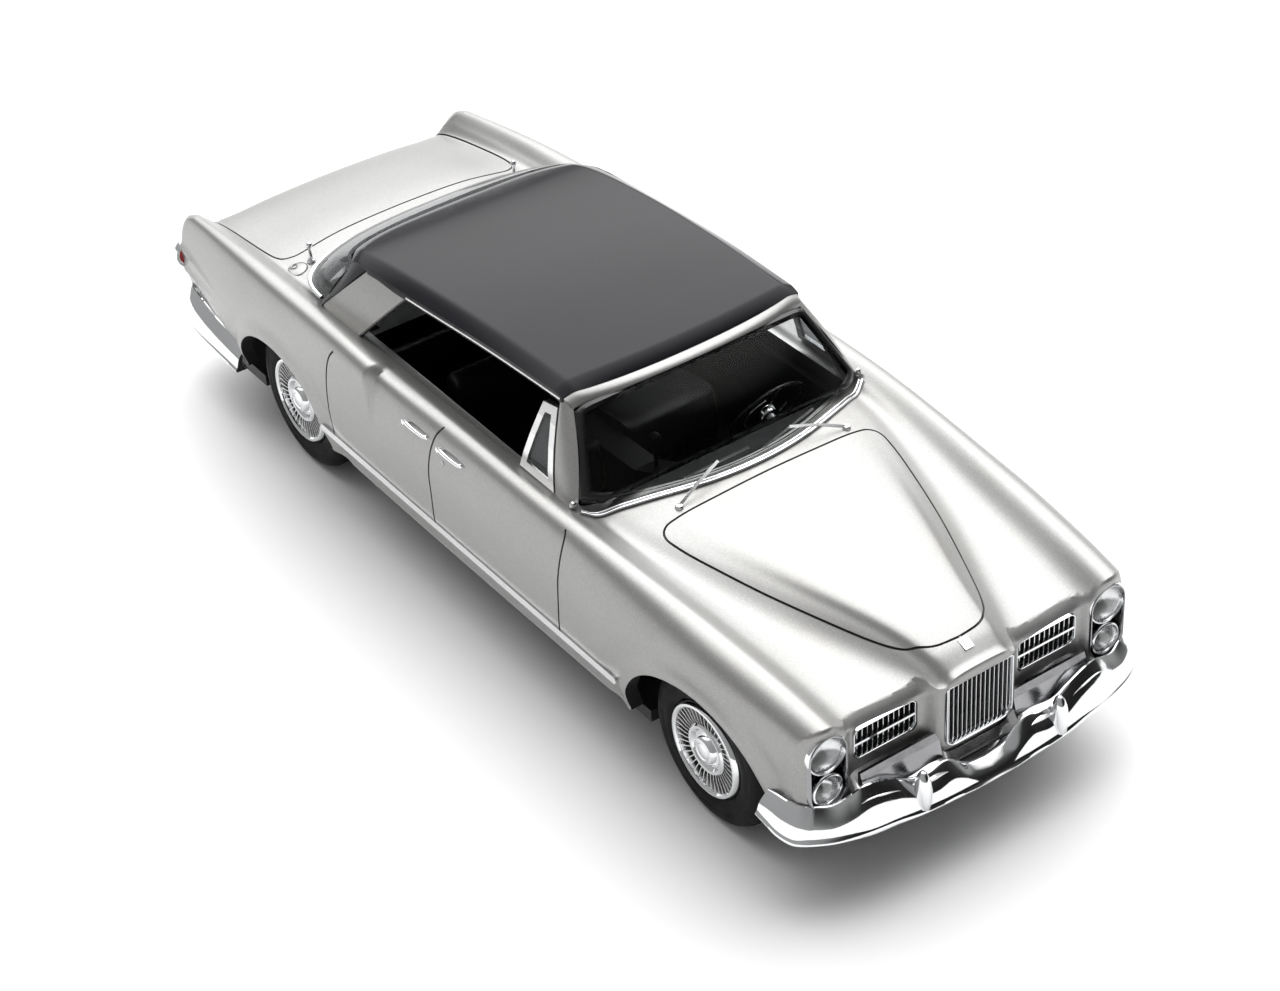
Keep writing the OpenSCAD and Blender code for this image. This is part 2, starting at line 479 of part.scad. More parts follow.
// ---------------------------------------------------------------- front end
module frame_only(w, z0, z1, r, rim) {
    difference() {
        translate([-w / 2, z0]) offset(r) offset(-r) square([w, z1 - z0]);
        translate([-w / 2 + rim, z0 + rim]) offset(r) offset(-r) square([w - 2 * rim, z1 - z0 - 2 * rim]);
    }
}
module centre_grille_set() color(CHROME) {
    w = centre_grille[0];
    h = centre_grille[2] - centre_grille[1];
    along_x(body_front - 1.6, body_front + 0.4)
        translate([0, centre_grille[1]]) frame_only(w - 0.04, 0, h - 0.04, 1, 0.45);
    pitch = (w - 0.8) / (grille_bars + 1);
    for (i = [1 : grille_bars])
        translate([body_front - 1.2, -w / 2 + 0.4 + i * pitch - 0.11, centre_grille[1] + 0.3])
            cube([1.2, 0.22, h - 0.6]);
}
module side_grille_set(side) color(CHROME) one_side(side) {
    y0 = side_grille[0] + 0.02;
    w = side_grille[1] - side_grille[0] - 0.04;
    h = side_grille[3] - side_grille[2] - 0.04;
    along_x(body_front - 1.7, body_front - 0.5) translate([y0 + w / 2, side_grille[2] + 0.02])
        frame_only(w, 0, h, 0.6, 0.3);
    translate([body_front - 1.6, y0 + 0.2, side_grille[2] + h / 2 - 0.15]) cube([1, w - 0.4, 0.3]);
    for (i = [1 : slats]) translate([body_front - 1.5, y0 + 0.3 + i * (w - 0.6) / (slats + 1) - 0.1,
        side_grille[2] + 0.2]) cube([0.8, 0.2, h - 0.4]);
}
module grille_mesh() color(BLACK) {
    translate([body_front - 2.4, 0.05 - centre_grille[0] / 2, centre_grille[1] - 0.2])
        cube([0.6, centre_grille[0] - 0.1, 7.1]);
    both_sides() translate([body_front - 2.4, side_grille[0], side_grille[2]])
        cube([0.6, side_grille[1] - side_grille[0], side_grille[3] - side_grille[2]]);
}
// Dark pan below the grilles, sloping out to the bumper.
module front_valance() color(GUNMETAL) difference() {
    along_y(-13.3, 13.3) polygon([[55, 7.2], [56.9, 7.6], [57.9, 9], [57.9, 9.8], [57.2, 12.2], [56.9, 12.9],
        [body_front, 12.9], [body_front, 8.6], [55, 8.6]]);
    along_x(50, 62) translate([-4.4, 9.2]) square([8.8, 6]);
}
module lamp_housing(side) color(CHROME) one_side(side) along_x(body_front - 2.6, body_front) difference() {
    stadium(lamp_y, lamp_low_z, lamp_high_z, 2.33);
    stadium(lamp_y, lamp_low_z, lamp_high_z, 2.1);
}
module lamp_at(side, z) translate([body_front - 2.2, side * lamp_y, z]) rotate([0, 90, 0]) children();
module lens(r, h, dome) rotate_extrude() polygon(concat([[0, 0], [r, 0], [r, h]],
    [for (a = [10 : 10 : 80]) [r * cos(a), h + dome * sin(a)]], [[0, h + dome]]));
module lamp_ring(r, h) rotate_extrude() polygon([[r, 0], [r + 0.3, 0], [r + 0.3, h + 0.25],
    [r + 0.15, h + 0.4], [r, h + 0.25]]);
module headlamp(side) color(LAMP) lamp_at(side, lamp_high_z - 0.1) lens(1.75, 1.3, 0.8);
module fog_lamp(side) color(LAMP) lamp_at(side, lamp_low_z + 0.1) lens(1.4, 1.3, 0.7);
module lamp_rings() color(CHROME) for (side = [-1, 1]) {
    lamp_at(side, lamp_high_z - 0.1) lamp_ring(1.76, 1.4);
    lamp_at(side, lamp_low_z + 0.1) lamp_ring(1.41, 1.4);
}
module tail_lamp(side) color(RED) translate([body_rear - 1.3, side * 18, 14.4]) rotate([0, 90, 0]) union() {
    rotate_extrude() polygon([[0, 0], [0.7, 0.05], [1.3, 0.5], [1.6, 1.3], [0, 1.3]]);
}
module number_plate() color(BLACK) translate([body_rear - 0.45, -5.6, 12]) cube([0.4, 11.2, 3]);

// ---------------------------------------------------------------- bumpers
// Path keys on the left half: [y, x, height of the bar's middle, half height].
FRONT_BAR = [[0, 59.0, 7.85, 0.75], [2.2, 59.0, 8.1, 1.0], [4.6, 58.9, 8.95, 1.8], [6.6, 58.9, 8.85, 1.65],
    [8.6, 58.8, 9.0, 1.8], [11, 58.6, 9.7, 2.3], [13.6, 58.4, 9.9, 2.4], [16, 58.1, 9.6, 2.0],
    [18.8, 57.0, 9.6, 1.8]];
REAR_BAR = [[0, -59.2, 9.6, 2.0], [8, -59.1, 9.6, 2.0], [15, -58.7, 9.6, 2.0], [17.9, -57.9, 9.6, 2.0]];
// Section of a bar: a domed face with a lip above and below, as [how far out, share of the half height].
BAR_SECTION = [[-0.4, -1], [0.15, -1.0], [0.75, -0.75], [1.1, -0.25], [1.2, 0.2], [1.0, 0.6], [0.5, 0.95],
    [-0.4, 1], [-0.3, 0.5], [-0.3, -0.5]];
// The section at one station, facing along dir.
// g is how much larger it is all round, for the room the bar needs in its neighbours.
function bar_ring(p, dir, z, h, g) = [for (q = BAR_SECTION)
    let (out = q[0] + (q[0] > 0 ? g : -g)) [p[0] + out * dir[0], p[1] + out * dir[1], z + q[1] * (h + g)]];
function bar_rings(keys, ends, fwd, g = 0) =
    let (last = keys[len(keys) - 1],
        half = concat(
            [for (i = [0 : 18]) let (y = last[0] * i / 18, t = (i / 18)^5 * 50)
                bar_ring([keyed(keys, y, 1), y], [fwd * cos(t), sin(t)],
                    keyed(keys, y, 2), keyed(keys, y, 3), g)],
            [for (e = ends) bar_ring([e[0], e[1]], [fwd * cos(e[2]), sin(e[2])], e[3], e[4], g)]),
        n = len(half))
    concat([for (i = [n - 1 : -1 : 1]) [for (p = half[i]) [p[0], -p[1], p[2]]]], half);
// Round the corners: [x, y, angle of the face, height of the bar's middle, half height].
FRONT_ENDS = [[54.9, 19.8, 78, 10, 1.8], [53.2, 20.05, 88, 10.2, 1.4], [51.9, 20.1, 90, 10.25, 1.15]];
REAR_ENDS = [[-55.8, 19.5, 74, 9.5, 1.9], [-51.5, 20, 88, 9.2, 1.7], [-42.8, 20.1, 90, 8.6, 1.4]];
module front_bumper() color(CHROME) free_form() loft(bar_rings(FRONT_BAR, FRONT_ENDS, 1));
module rear_bumper() color(CHROME) free_form() loft(bar_rings(REAR_BAR, REAR_ENDS, -1));
module overriders() color(CHROME) free_form() difference() {
    for (side = [-1, 1]) translate([59.3, side * 8.1, 7.5]) rotate_extrude($fn = 32)
        polygon([[0, 0], [0.7, 0.1], [1, 0.8], [1.1, 2.2], [1, 3.2], [0.7, 4], [0.35, 4.4], [0, 4.5]]);
    loft(bar_rings(FRONT_BAR, FRONT_ENDS, 1, 0.02));
    // behind the bar
    translate([55, -12, 5]) cube([3.8, 24, 8]);
}

// ---------------------------------------------------------------- small trim
module sill_bar(g) translate([-23.4, 20.75, 10.5]) along_y(-g, 0.55 + g)
    hull() for (x = [0.3, 53.6]) translate([x, 0]) circle(0.4 + g, $fn = 16);
module sill_trim(side) color(CHROME) one_side(side) sill_bar(0);
module door_handle() {
    hull() {
        sphere(0.42, $fn = 20);
        translate([4.2, 0, 0]) sphere(0.3, $fn = 20);
    }
    for (x = [0.2, 4]) translate([x, 0.1, 0]) rotate([90, 0, 0]) cylinder(r = 0.28, h = 0.7, $fn = 20);
}
module door_handles() color(CHROME) both_sides() for (x = [-5.4, 0.9])
    translate([x, 20.85, 20.9]) door_handle();
module rod(a, b, r) {
    d = b - a;
    translate(a) rotate([0, acos(d[2] / norm(d)), atan2(d[1], d[0])]) cylinder(r = r, h = norm(d));
}
module wiper(side) color(CHROME) {
    foot = [26, side * 10, 22.3];
    mid = [24.6, side * 4.6, 23.8];
    translate(foot - [0, 0, 0.6]) cylinder(r = 0.5, h = 0.9);
    rod(foot, mid, 0.2);
    rod(mid + [0.3, -3.6, -0.35], mid + [0.3, 3.6, 0.35], 0.15);
}
module aerials() color(CHROME) for (side = [-1, 1]) translate([-36.5, side * 13.2, 20.9]) {
    cylinder(r1 = 0.6, r2 = 0.45, h = 0.9);
    cylinder(r = 0.28, h = 2.2);
    translate([0, 0, 2.2]) sphere(0.4);
}
module fuel_flaps() color(SILVER) for (side = [-1, 1]) translate([-35.7, side * 14.9, 20.5]) difference() {
    cylinder(r = 1.2, h = 0.75);
    translate([0.9, 0, 0.45]) cylinder(r = 0.4, h = 1);
}
module hood_badge() color(CHROME) translate([55.7, -0.55, 19.5]) rotate([0, 38, 0]) cube([1.3, 1.1, 0.4]);

// ---------------------------------------------------------------- build
body_shell();
roof_cap();
chassis_plate();
interior_tub();
dashboard();
centre_console();
steering_column();
steering_wheel();
front_seat(-1);  // front_seat_right
front_seat(1);  // front_seat_left
rear_seat();
windscreen();
windscreen_gasket();
windscreen_trim();
rear_window();
rear_window_trim();
vent_frame(-1);  // vent_frame_right
vent_frame(1);  // vent_frame_left
vent_glass(-1);  // vent_glass_right
vent_glass(1);  // vent_glass_left
window_rails();
sill_trim(-1);  // sill_trim_right
sill_trim(1);  // sill_trim_left
door_handles();
wiper(-1);  // wiper_right
wiper(1);  // wiper_left
aerials();
fuel_flaps();
hood_badge();
centre_grille_set();  // centre_grille
grille_mesh();
side_grille_set(-1);  // side_grille_right
side_grille_set(1);  // side_grille_left
front_valance();
lamp_housing(-1);  // lamp_housing_right
lamp_housing(1);  // lamp_housing_left
headlamp(-1);  // headlamp_right
headlamp(1);  // headlamp_left
fog_lamp(-1);  // fog_lamp_right
fog_lamp(1);  // fog_lamp_left
lamp_rings();
tail_lamp(-1);  // tail_lamp_right
tail_lamp(1);  // tail_lamp_left
front_bumper();
rear_bumper();
overriders();
number_plate();
exhaust_pipes();
base_screws();
axle(axle_front);  // front_axle
axle(axle_rear);  // rear_axle
wheel_disc(axle_front, -1);  // wheel_front_right
wheel_disc(axle_front, 1);  // wheel_front_left
wheel_disc(axle_rear, -1);  // wheel_rear_right
wheel_disc(axle_rear, 1);  // wheel_rear_left
tyre(axle_front, -1);  // tyre_front_right
tyre(axle_front, 1);  // tyre_front_left
tyre(axle_rear, -1);  // tyre_rear_right
tyre(axle_rear, 1);  // tyre_rear_left
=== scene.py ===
"""The looks of a silver and black 1:43 diecast saloon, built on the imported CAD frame.

Shapes are worked out in millimetres and turned into metres when a piece is made.
+X points to the front bumper, +Y to the car's left, +Z up.
"""

import math

import bmesh
import bpy
import numpy as np
from mathutils import Matrix, Vector


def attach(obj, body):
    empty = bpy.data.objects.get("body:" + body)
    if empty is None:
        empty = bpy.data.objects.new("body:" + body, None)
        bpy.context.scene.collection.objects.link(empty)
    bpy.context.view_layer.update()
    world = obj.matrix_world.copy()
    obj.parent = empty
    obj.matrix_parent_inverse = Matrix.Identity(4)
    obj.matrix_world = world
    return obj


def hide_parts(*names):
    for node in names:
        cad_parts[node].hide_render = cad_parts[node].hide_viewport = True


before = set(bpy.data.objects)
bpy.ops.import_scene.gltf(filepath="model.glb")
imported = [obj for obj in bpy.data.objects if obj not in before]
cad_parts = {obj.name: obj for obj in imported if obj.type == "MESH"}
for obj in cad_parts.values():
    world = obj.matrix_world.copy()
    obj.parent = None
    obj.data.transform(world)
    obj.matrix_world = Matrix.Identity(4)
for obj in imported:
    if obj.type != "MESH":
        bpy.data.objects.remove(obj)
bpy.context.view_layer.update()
MM = 0.001

# ---------------------------------------------------------------- driving sizes, mm
AXLE_X = {"front": 41.45, "rear": -32.25}
AXLE_Z = 8.25
TRACK_HALF = 16.9
TYRE_R, TYRE_W, RIM_R = 8.25, 4.4, 5.1
WALL = 1.2
GROOVE_W, GROOVE_DEPTH = 0.3, 0.36
VANES = 40
CENTRE_BARS = 14
SIDE_SLATS = 11
LAMP_Y, HIGH_LAMP_Z, LAMP_GAP = 16.45, 16.5, 4.1
LAMP_X, LAMP_WELL_R = 55.2, 2.0
LOCK_X = 1.5
FLOOR_HALF = 6000
WORLD_STRENGTH = 3.8


# ---------------------------------------------------------------- materials
def tree(name):
    m = bpy.data.materials.new(name)
    m.use_nodes = True
    return m, m.node_tree.nodes, m.node_tree.links, m.node_tree.nodes["Principled BSDF"]


def noise(nodes, links, coord, scale, detail=3.0, rough=0.55):
    n = nodes.new("ShaderNodeTexNoise")
    n.inputs["Scale"].default_value = scale
    n.inputs["Detail"].default_value = detail
    n.inputs["Roughness"].default_value = rough
    links.new(coord, n.inputs["Vector"])
    return n.outputs["Fac"]


def ramp(nodes, links, fac, stops):
    r = nodes.new("ShaderNodeValToRGB")
    while len(r.color_ramp.elements) < len(stops):
        r.color_ramp.elements.new(0.5)
    for e, (at, value) in zip(r.color_ramp.elements, stops):
        e.position = at
        e.color = (*value, 1) if isinstance(value, tuple) else (value, value, value, 1)
    links.new(fac, r.inputs["Fac"])
    return r.outputs["Color"]


def finish_of(name, colour, rough, metal=0.0, shade=0.06, wear=0.05, grain=0.04, grain_scale=9000, patch_scale=70,
              **sockets):
    """A procedural finish: blotchy colour, uneven gloss, handling marks and a fine grain in the surface.

    shade is how much the colour varies, wear how much the gloss does, and grain the depth of the bump in mm.
    """
    m, nodes, links, shader = tree(name)
    coord = nodes.new("ShaderNodeTexCoord").outputs["Object"]
    dark = tuple(c * (1 - shade) for c in colour)
    light = tuple(min(1.0, c * (1 + shade)) for c in colour)
    links.new(ramp(nodes, links, noise(nodes, links, coord, patch_scale, 5), [(0.3, dark), (0.7, light)]),
              shader.inputs["Base Color"])
    low, high = max(0.02, rough - wear), min(1.0, rough + wear)
    links.new(ramp(nodes, links, noise(nodes, links, coord, patch_scale * 6, 6, 0.7), [(0.35, low), (0.7, high)]),
              shader.inputs["Roughness"])
    bump = nodes.new("ShaderNodeBump")
    bump.inputs["Strength"].default_value = 0.5
    bump.inputs["Distance"].default_value = grain * MM
    links.new(noise(nodes, links, coord, grain_scale, 2), bump.inputs["Height"])
    links.new(bump.outputs["Normal"], shader.inputs["Normal"])
    shader.inputs["Metallic"].default_value = metal
    for key, value in sockets.items():
        shader.inputs[key.replace("_", " ")].default_value = value
    return m


def silver_paint():
    """Satin silver with fine metal flake, a little warmer where handling has dulled it."""
    m, nodes, links, shader = tree("silver_paint")
    coord = nodes.new("ShaderNodeTexCoord").outputs["Object"]
    flake = nodes.new("ShaderNodeTexVoronoi")
    flake.inputs["Scale"].default_value = 13000
    links.new(coord, flake.inputs["Vector"])
    speck = nodes.new("ShaderNodeSeparateColor")
    links.new(flake.outputs["Color"], speck.inputs["Color"])
    base = ramp(nodes, links, speck.outputs["Red"], [(0.0, (0.34, 0.34, 0.337)), (0.75, (0.375, 0.375, 0.372)),
                                                     (1.0, (0.42, 0.42, 0.414))])
    patch = ramp(nodes, links, noise(nodes, links, coord, 60, 5), [(0.3, (0.96, 0.95, 0.93)), (0.7, (1.0, 1.0, 1.0))])
    mix = nodes.new("ShaderNodeMix")
    mix.data_type = "RGBA"
    mix.blend_type = "MULTIPLY"
    mix.inputs["Factor"].default_value = 1.0
    links.new(base, mix.inputs["A"])
    links.new(patch, mix.inputs["B"])
    links.new(mix.outputs["Result"], shader.inputs["Base Color"])
    links.new(ramp(nodes, links, speck.outputs["Green"], [(0.0, 0.36), (1.0, 0.44)]), shader.inputs["Roughness"])
    bump = nodes.new("ShaderNodeBump")
    bump.inputs["Strength"].default_value = 0.12
    bump.inputs["Distance"].default_value = 0.012 * MM
    links.new(speck.outputs["Blue"], bump.inputs["Height"])
    links.new(bump.outputs["Normal"], shader.inputs["Normal"])
    shader.inputs["Metallic"].default_value = 0.75
    shader.inputs["Coat Weight"].default_value = 0.25
    shader.inputs["Coat Roughness"].default_value = 0.22
    return m


PAINT = silver_paint()
WASH = finish_of("panel_wash", (0.10, 0.10, 0.10), 0.6, shade=0.3, wear=0.1)
HOLLOW = finish_of("casting_inside", (0.012, 0.012, 0.0125), 0.75, shade=0.2, wear=0.1, Specular_IOR_Level=0.2)
BLACK = finish_of("black_gloss_paint", (0.014, 0.014, 0.017), 0.11, shade=0.15, wear=0.03, grain=0.002,
                  grain_scale=2500, IOR=1.33, Specular_IOR_Level=0.28)
CHROME = finish_of("chrome", (0.86, 0.87, 0.88), 0.07, metal=1.0, shade=0.03, wear=0.035, grain=0.003, grain_scale=3000)
FOIL = finish_of("bright_foil", (0.80, 0.80, 0.80), 0.22, metal=1.0, shade=0.05, wear=0.06, grain=0.01)
# The chrome darkened as painted shade: it is used for parts set in recesses, behind the grille or in the cabin, and for
# the small door locks and badge relief.
DARK_CHROME = finish_of("shaded_chrome", (0.34, 0.34, 0.35), 0.2, metal=1.0, shade=0.2, wear=0.08, grain=0.01,
                        grain_scale=2500)
RUBBER = finish_of("tyre_rubber", (0.007, 0.007, 0.0075), 0.6, shade=0.25, wear=0.1, grain=0.02, grain_scale=6000,
                   Specular_IOR_Level=0.12)
SEAL = finish_of("black_seal", (0.006, 0.006, 0.006), 0.28, shade=0.2, wear=0.06, grain=0.008)
VINYL = finish_of("interior_black", (0.005, 0.005, 0.0055), 0.45, shade=0.25, wear=0.08, grain=0.02, grain_scale=7000,
                  Specular_IOR_Level=0.2)
CHASSIS = finish_of("chassis_black", (0.02, 0.02, 0.021), 0.5, shade=0.2, wear=0.1, grain=0.02)
STEEL = finish_of("screw_steel", (0.45, 0.45, 0.46), 0.3, metal=1.0, shade=0.1, wear=0.1, grain=0.01)
RED_LENS = finish_of("red_lens", (0.45, 0.012, 0.010), 0.12, shade=0.1, wear=0.03, grain=0.004, Coat_Weight=0.6)
LENS = finish_of("lamp_glass", (0.97, 0.98, 0.99), 0.03, shade=0.02, wear=0.02, grain=0.004, Transmission_Weight=1.0,
                 IOR=1.3)
GLASS = finish_of("clear_screen", (0.93, 0.95, 0.95), 0.02, shade=0.02, wear=0.012, grain=0.001,
                  Transmission_Weight=1.0, IOR=1.16)
SMOKE = finish_of("smoked_glass", (0.30, 0.31, 0.32), 0.04, shade=0.1, wear=0.02, grain=0.002,
                  Transmission_Weight=0.85, IOR=1.3)


# ---------------------------------------------------------------- curves and the body's skin
def step(low, high, v):
    t = np.clip((np.asarray(v, float) - low) / (high - low), 0, 1)
    return t * t * (3 - 2 * t)


def hump(v, centre, width):
    return np.exp(-(((np.asarray(v, float) - centre) / width) ** 2))


def keyed(keys, x, c=1):
    """Value of column c at x on a smooth curve through the rows of a key list."""
    k = np.array(keys, float)
    at, v = k[:, 0], k[:, c]
    slope = np.gradient(v)
    slope[1:-1] = (v[2:] - v[:-2]) / (at[2:] - at[:-2])
    slope[0], slope[-1] = (v[1] - v[0]) / (at[1] - at[0]), (v[-1] - v[-2]) / (at[-1] - at[-2])
    x = np.clip(np.asarray(x, float), at[0], at[-1])
    i = np.clip(np.searchsorted(at, x, side="right") - 1, 0, len(at) - 2)
    h = at[i + 1] - at[i]
    t = (x - at[i]) / h
    return ((2 * t**3 - 3 * t**2 + 1) * v[i] + (t**3 - 2 * t**2 + t) * slope[i] * h
            + (3 * t**2 - 2 * t**3) * v[i + 1] + (t**3 - t**2) * slope[i + 1] * h)


def chain(points, cuts):
    """Catmull-Rom points through a list, with `cuts` pieces between neighbours."""
    p = np.array(points, float)
    a, b, c, d = (p[np.clip(np.arange(len(p) - 1) + k, 0, len(p) - 1)][:, None] for k in (-1, 0, 1, 2))
    t = (np.arange(cuts) / cuts)[None, :, None]
    q = 0.5 * (2 * b + (c - a) * t + (2 * a - 5 * b + 4 * c - d) * t**2 + (3 * b - a - 3 * c + d) * t**3)
    return np.vstack([q.reshape(-1, p.shape[1]), p[-1:]])


# The body's long lines from the middle of the bonnet out to the shoulder and down to the hem.
# Each row is (x, y, z) on the car's left half.
LINES = [
    [(-57.6, 0, 18.0), (-54, 0, 19.6), (-47, 0, 21.1), (-39, 0, 22.2), (-20, 0, 22.8), (20, 0, 23.3), (27, 0, 23.1),
     (40, 0, 22.4), (50, 0, 21.3), (55, 0, 20.2), (57, 0, 19.2)],
    [(-57.6, 7, 17.9), (-54, 7.3, 19.4), (-47, 7.6, 20.9), (-39, 8, 22.0), (-20, 9, 22.5), (20, 9, 23.0),
     (27, 8.6, 22.8), (40, 6.4, 22.2), (50, 4, 21.1), (55, 3.1, 20.0), (57, 2.8, 19.0)],
    [(-57.6, 13.2, 17.5), (-54, 13.4, 18.9), (-47, 13.6, 20.2), (-39, 13.8, 21.2), (-20, 14, 21.8), (20, 13.4, 22.3),
     (27, 12.6, 22.1), (40, 8.8, 21.3), (50, 5.5, 20.2), (55, 4.3, 19.1), (57, 4, 18.2)],
    [(-57.6, 15, 17.5), (-54, 15.1, 18.8), (-47, 15.4, 20.0), (-39, 15.7, 20.9), (-20, 16, 21.4), (20, 15.6, 21.6),
     (27, 14.9, 21.3), (40, 11.8, 19.9), (50, 8.4, 18.7), (55, 6.7, 18.1), (57, 6.2, 17.8)],
    [(-57.6, 16.3, 18.8), (-54, 16.4, 19.9), (-39, 16.8, 21.4), (-20, 17, 22.0), (20, 17, 22.1), (27, 16.4, 21.6),
     (40, 14.8, 20.2), (50, 13.6, 18.9), (57, 12.9, 17.5)],
    [(-57.6, 17.5, 20.4), (-50, 18, 21.4), (-39, 18.4, 22.4), (-20, 18.7, 22.9), (-10, 18.7, 22.7), (20, 18.7, 22.8),
     (30, 18.2, 22.4), (40, 17.4, 21.7), (50, 16.7, 20.7), (57, 16.2, 19.6)],
    [(-57.6, 18.4, 19.8), (-39, 19.9, 21.6), (-20, 20.3, 22.1), (0, 20.2, 21.8), (20, 20.2, 21.8), (40, 19.6, 20.7),
     (50, 19, 19.7), (57, 18.3, 18.8)],
    [(-57.6, 18.8, 16.6), (-39, 20.7, 17.6), (-20, 21.1, 18), (20, 21.1, 18), (40, 20.8, 17.5), (57, 19.1, 16.4)],
    [(-57.6, 18.8, 14), (-39, 20.8, 14), (-20, 21.2, 14), (20, 21.2, 14), (40, 21.0, 14), (57, 19.1, 14)],
    [(-57.6, 18.4, 10.8), (-39, 20.6, 10.4), (-20, 21.0, 10.4), (20, 21.0, 10.4), (40, 20.8, 10.4), (57, 18.8, 10.8)],
    [(-57.6, 17.6, 9.2), (-39, 19.8, 7.7), (-20, 20.2, 7.4), (20, 20.2, 7.4), (40, 20.0, 7.8), (57, 18.0, 9.2)],
]
# Which way each line moves when the skin is set in, as (y, z).
INWARD = [(0, -1), (0, -1), (-0.2, -1), (0, -1), (0.2, -1), (0, -1), (-0.7, -0.7), (-1, 0), (-1, 0), (-1, 0), (-1, 0)]
ARCHES = [(41.7, 7.9, 10.1, 8.5), (-33.0, 7.9, 9.6, 7.7)]  # middle x, spring line z, half width, rise
WIDEST = 21.29


def skin(x, s, inset=0.0):
    """Point of the left skin at station x on line position s: 0 is the middle of the bonnet and 10 the hem."""
    x, s = np.broadcast_arrays(np.asarray(x, float), np.asarray(s, float))
    rows = [np.stack([keyed(k, x, 1), keyed(k, x, 2)], -1) + inset * np.array(w, float) for k, w in zip(LINES, INWARD)]
    rows = np.stack([rows[1] * np.array([-1.0, 1.0])] + rows + [rows[-1]])
    i = np.clip(s.astype(int), 0, 9)
    t = (s - i)[..., None]
    a, b, c, d = (np.take_along_axis(rows, (i + k)[None, ..., None], 0)[0] for k in range(4))
    q = 0.5 * (2 * b + (c - a) * t + (2 * a - 5 * b + 4 * c - d) * t**2 + (3 * b - a - 3 * c + d) * t**3)
    y, z = q[..., 0], q[..., 1]
    if not inset:
        y, z = carved(x, s, y, z)
    return np.stack([x, y, z], -1)


def carved(x, s, y, z):
    """Details pressed into the skin: arch lips, the rear wing's nose and the creases that run to the tail lamps."""
    flank = step(16.5, 19, y) * step(6.3, 7, s)
    for mid, base, half, rise in ARCHES:
        away = (np.hypot((x - mid) / half, (z - base) / rise) - 1) * 0.5 * (half + rise)
        y = y + flank * (0.24 * hump(away, 0.3, 0.7) - 0.16 * hump(away, 2.3, 1.0))
    nose = step(-11.5, -12.5, x) * hump(x, -12.5, 14)
    y = y + 0.85 * nose * hump(s, 6.0, 0.9)
    z = z + 0.9 * nose * hump(s, 5.5, 0.8)
    run = step(-43, -57, x)
    for centre, drift in ((15.9, -1.3), (13.0, 1.0)):
        y = y + 0.32 * run * hump(z, centre + drift * (1 - run), 0.42) * step(6.2, 6.8, s)
    return np.minimum(y, WIDEST), z


def skin_normal(x, s):
    e = 0.02
    along = skin(np.asarray(x) + e, s) - skin(np.asarray(x) - e, s)
    across = skin(x, np.clip(np.asarray(s) + e, 0, 10)) - skin(x, np.clip(np.asarray(s) - e, 0, 10))
    n = np.cross(along, across)
    return n / np.linalg.norm(n, axis=-1, keepdims=True)


def line_at(x, value, axis, low, high):
    """Line position s, between low and high, where the skin at x has that y (axis 1) or z (axis 2)."""
    s = np.linspace(low, high, 400)
    out = []
    for xi, v in zip(np.atleast_1d(x), np.atleast_1d(value)):
        q = skin(np.full_like(s, xi), s)[:, axis]
        order = 1 if axis == 1 else -1
        out.append(np.interp(v, q[::order], s[::order]))
    return np.array(out)


def top_z(x, y):
    """Height of the body's upper skin."""
    y = np.abs(np.atleast_1d(np.asarray(y, float)))
    x = np.broadcast_to(np.asarray(x, float), y.shape)
    return skin(x, line_at(x, y, 1, 0, 6))[:, 2]


def screen(u, s):
    """Windscreen surface: u from the cowl (0) to the header (1), s across from -1 to 1."""
    u, s = np.broadcast_arrays(np.asarray(u, float), np.asarray(s, float))
    bow = np.sin(np.pi * u)
    return np.stack([24.9 - 5.5 * s**2 + u * (-8.7 + 4.0 * s**2) + 0.45 * bow, s * (16.9 - 3.3 * u),
                     23.3 - 0.8 * s**2 + u * 7.3 + 0.35 * bow], -1)


def rear_screen(u, s):
    """Rear window surface, wrapped round the corners: s is -1 and 1 at its two side edges."""
    u, s = np.broadcast_arrays(np.asarray(u, float), np.asarray(s, float))
    c = np.abs(np.cos(np.pi / 2 * s)) ** 0.65
    w = np.abs(np.sin(np.pi / 2 * s)) ** 0.8 * np.sign(s)
    bow = np.sin(np.pi * u)
    return np.stack([-27.9 - 8.7 * c + u * (4.3 + 4.2 * c) - 0.3 * bow * c, w * (16.4 - 1.8 * u),
                     22.3 + 0.25 * c + u * (5.7 - 0.5 * c) + 0.45 * bow], -1)


SIDE = [(20.5, 17.35), (22, 17.3), (24, 16.75), (26, 16.0), (28, 15.1), (30, 14.1), (30.7, 13.7)]  # z, y
ROOF_TOP = [(-28.6, 27.7), (-22, 29.6), (-16, 30.7), (-8, 31.6), (0, 32.02), (8, 32.06), (15.2, 31.9)]
ROOF_EDGE = [(-28.4, 27.3), (-22, 28.75), (-12, 29.75), (1.3, 30.75), (13.4, 31.05), (15.2, 31.05)]
ROOF_HALF = [(-28.4, 14.3), (-22, 14.9), (-12, 14.95), (0, 14.65), (13.4, 14.15), (15.2, 14.1)]
CREASE = 0.9  # how far out the roof's crease runs, as a share of its half width


def roof(u, s, drop=0.0):
    """Roof surface: u from the front lip (0) to the rear edge (1), s across from -1 to 1."""
    u, s = np.broadcast_arrays(np.asarray(u, float), np.asarray(s, float))
    a = np.abs(s)
    x = (1 - u) * (15.2 - 1.4 * s**2) + u * (-28.4 + 4.4 * a**5)
    top, edge = keyed(ROOF_TOP, x), keyed(ROOF_EDGE, x)
    fall = 0.35 * (a / CREASE) ** 2 + 0.65 * np.maximum(0, (a - CREASE) / (1 - CREASE)) ** 1.2
    lip = 0.9 * np.maximum(0, 1 - u / 0.034) ** 1.5 + 0.5 * np.maximum(0, (u - 0.95) / 0.05) ** 2
    return np.stack([x, s * keyed(ROOF_HALF, x), top - (top - edge) * fall - lip * (1 - 0.6 * a**4) - drop], -1)


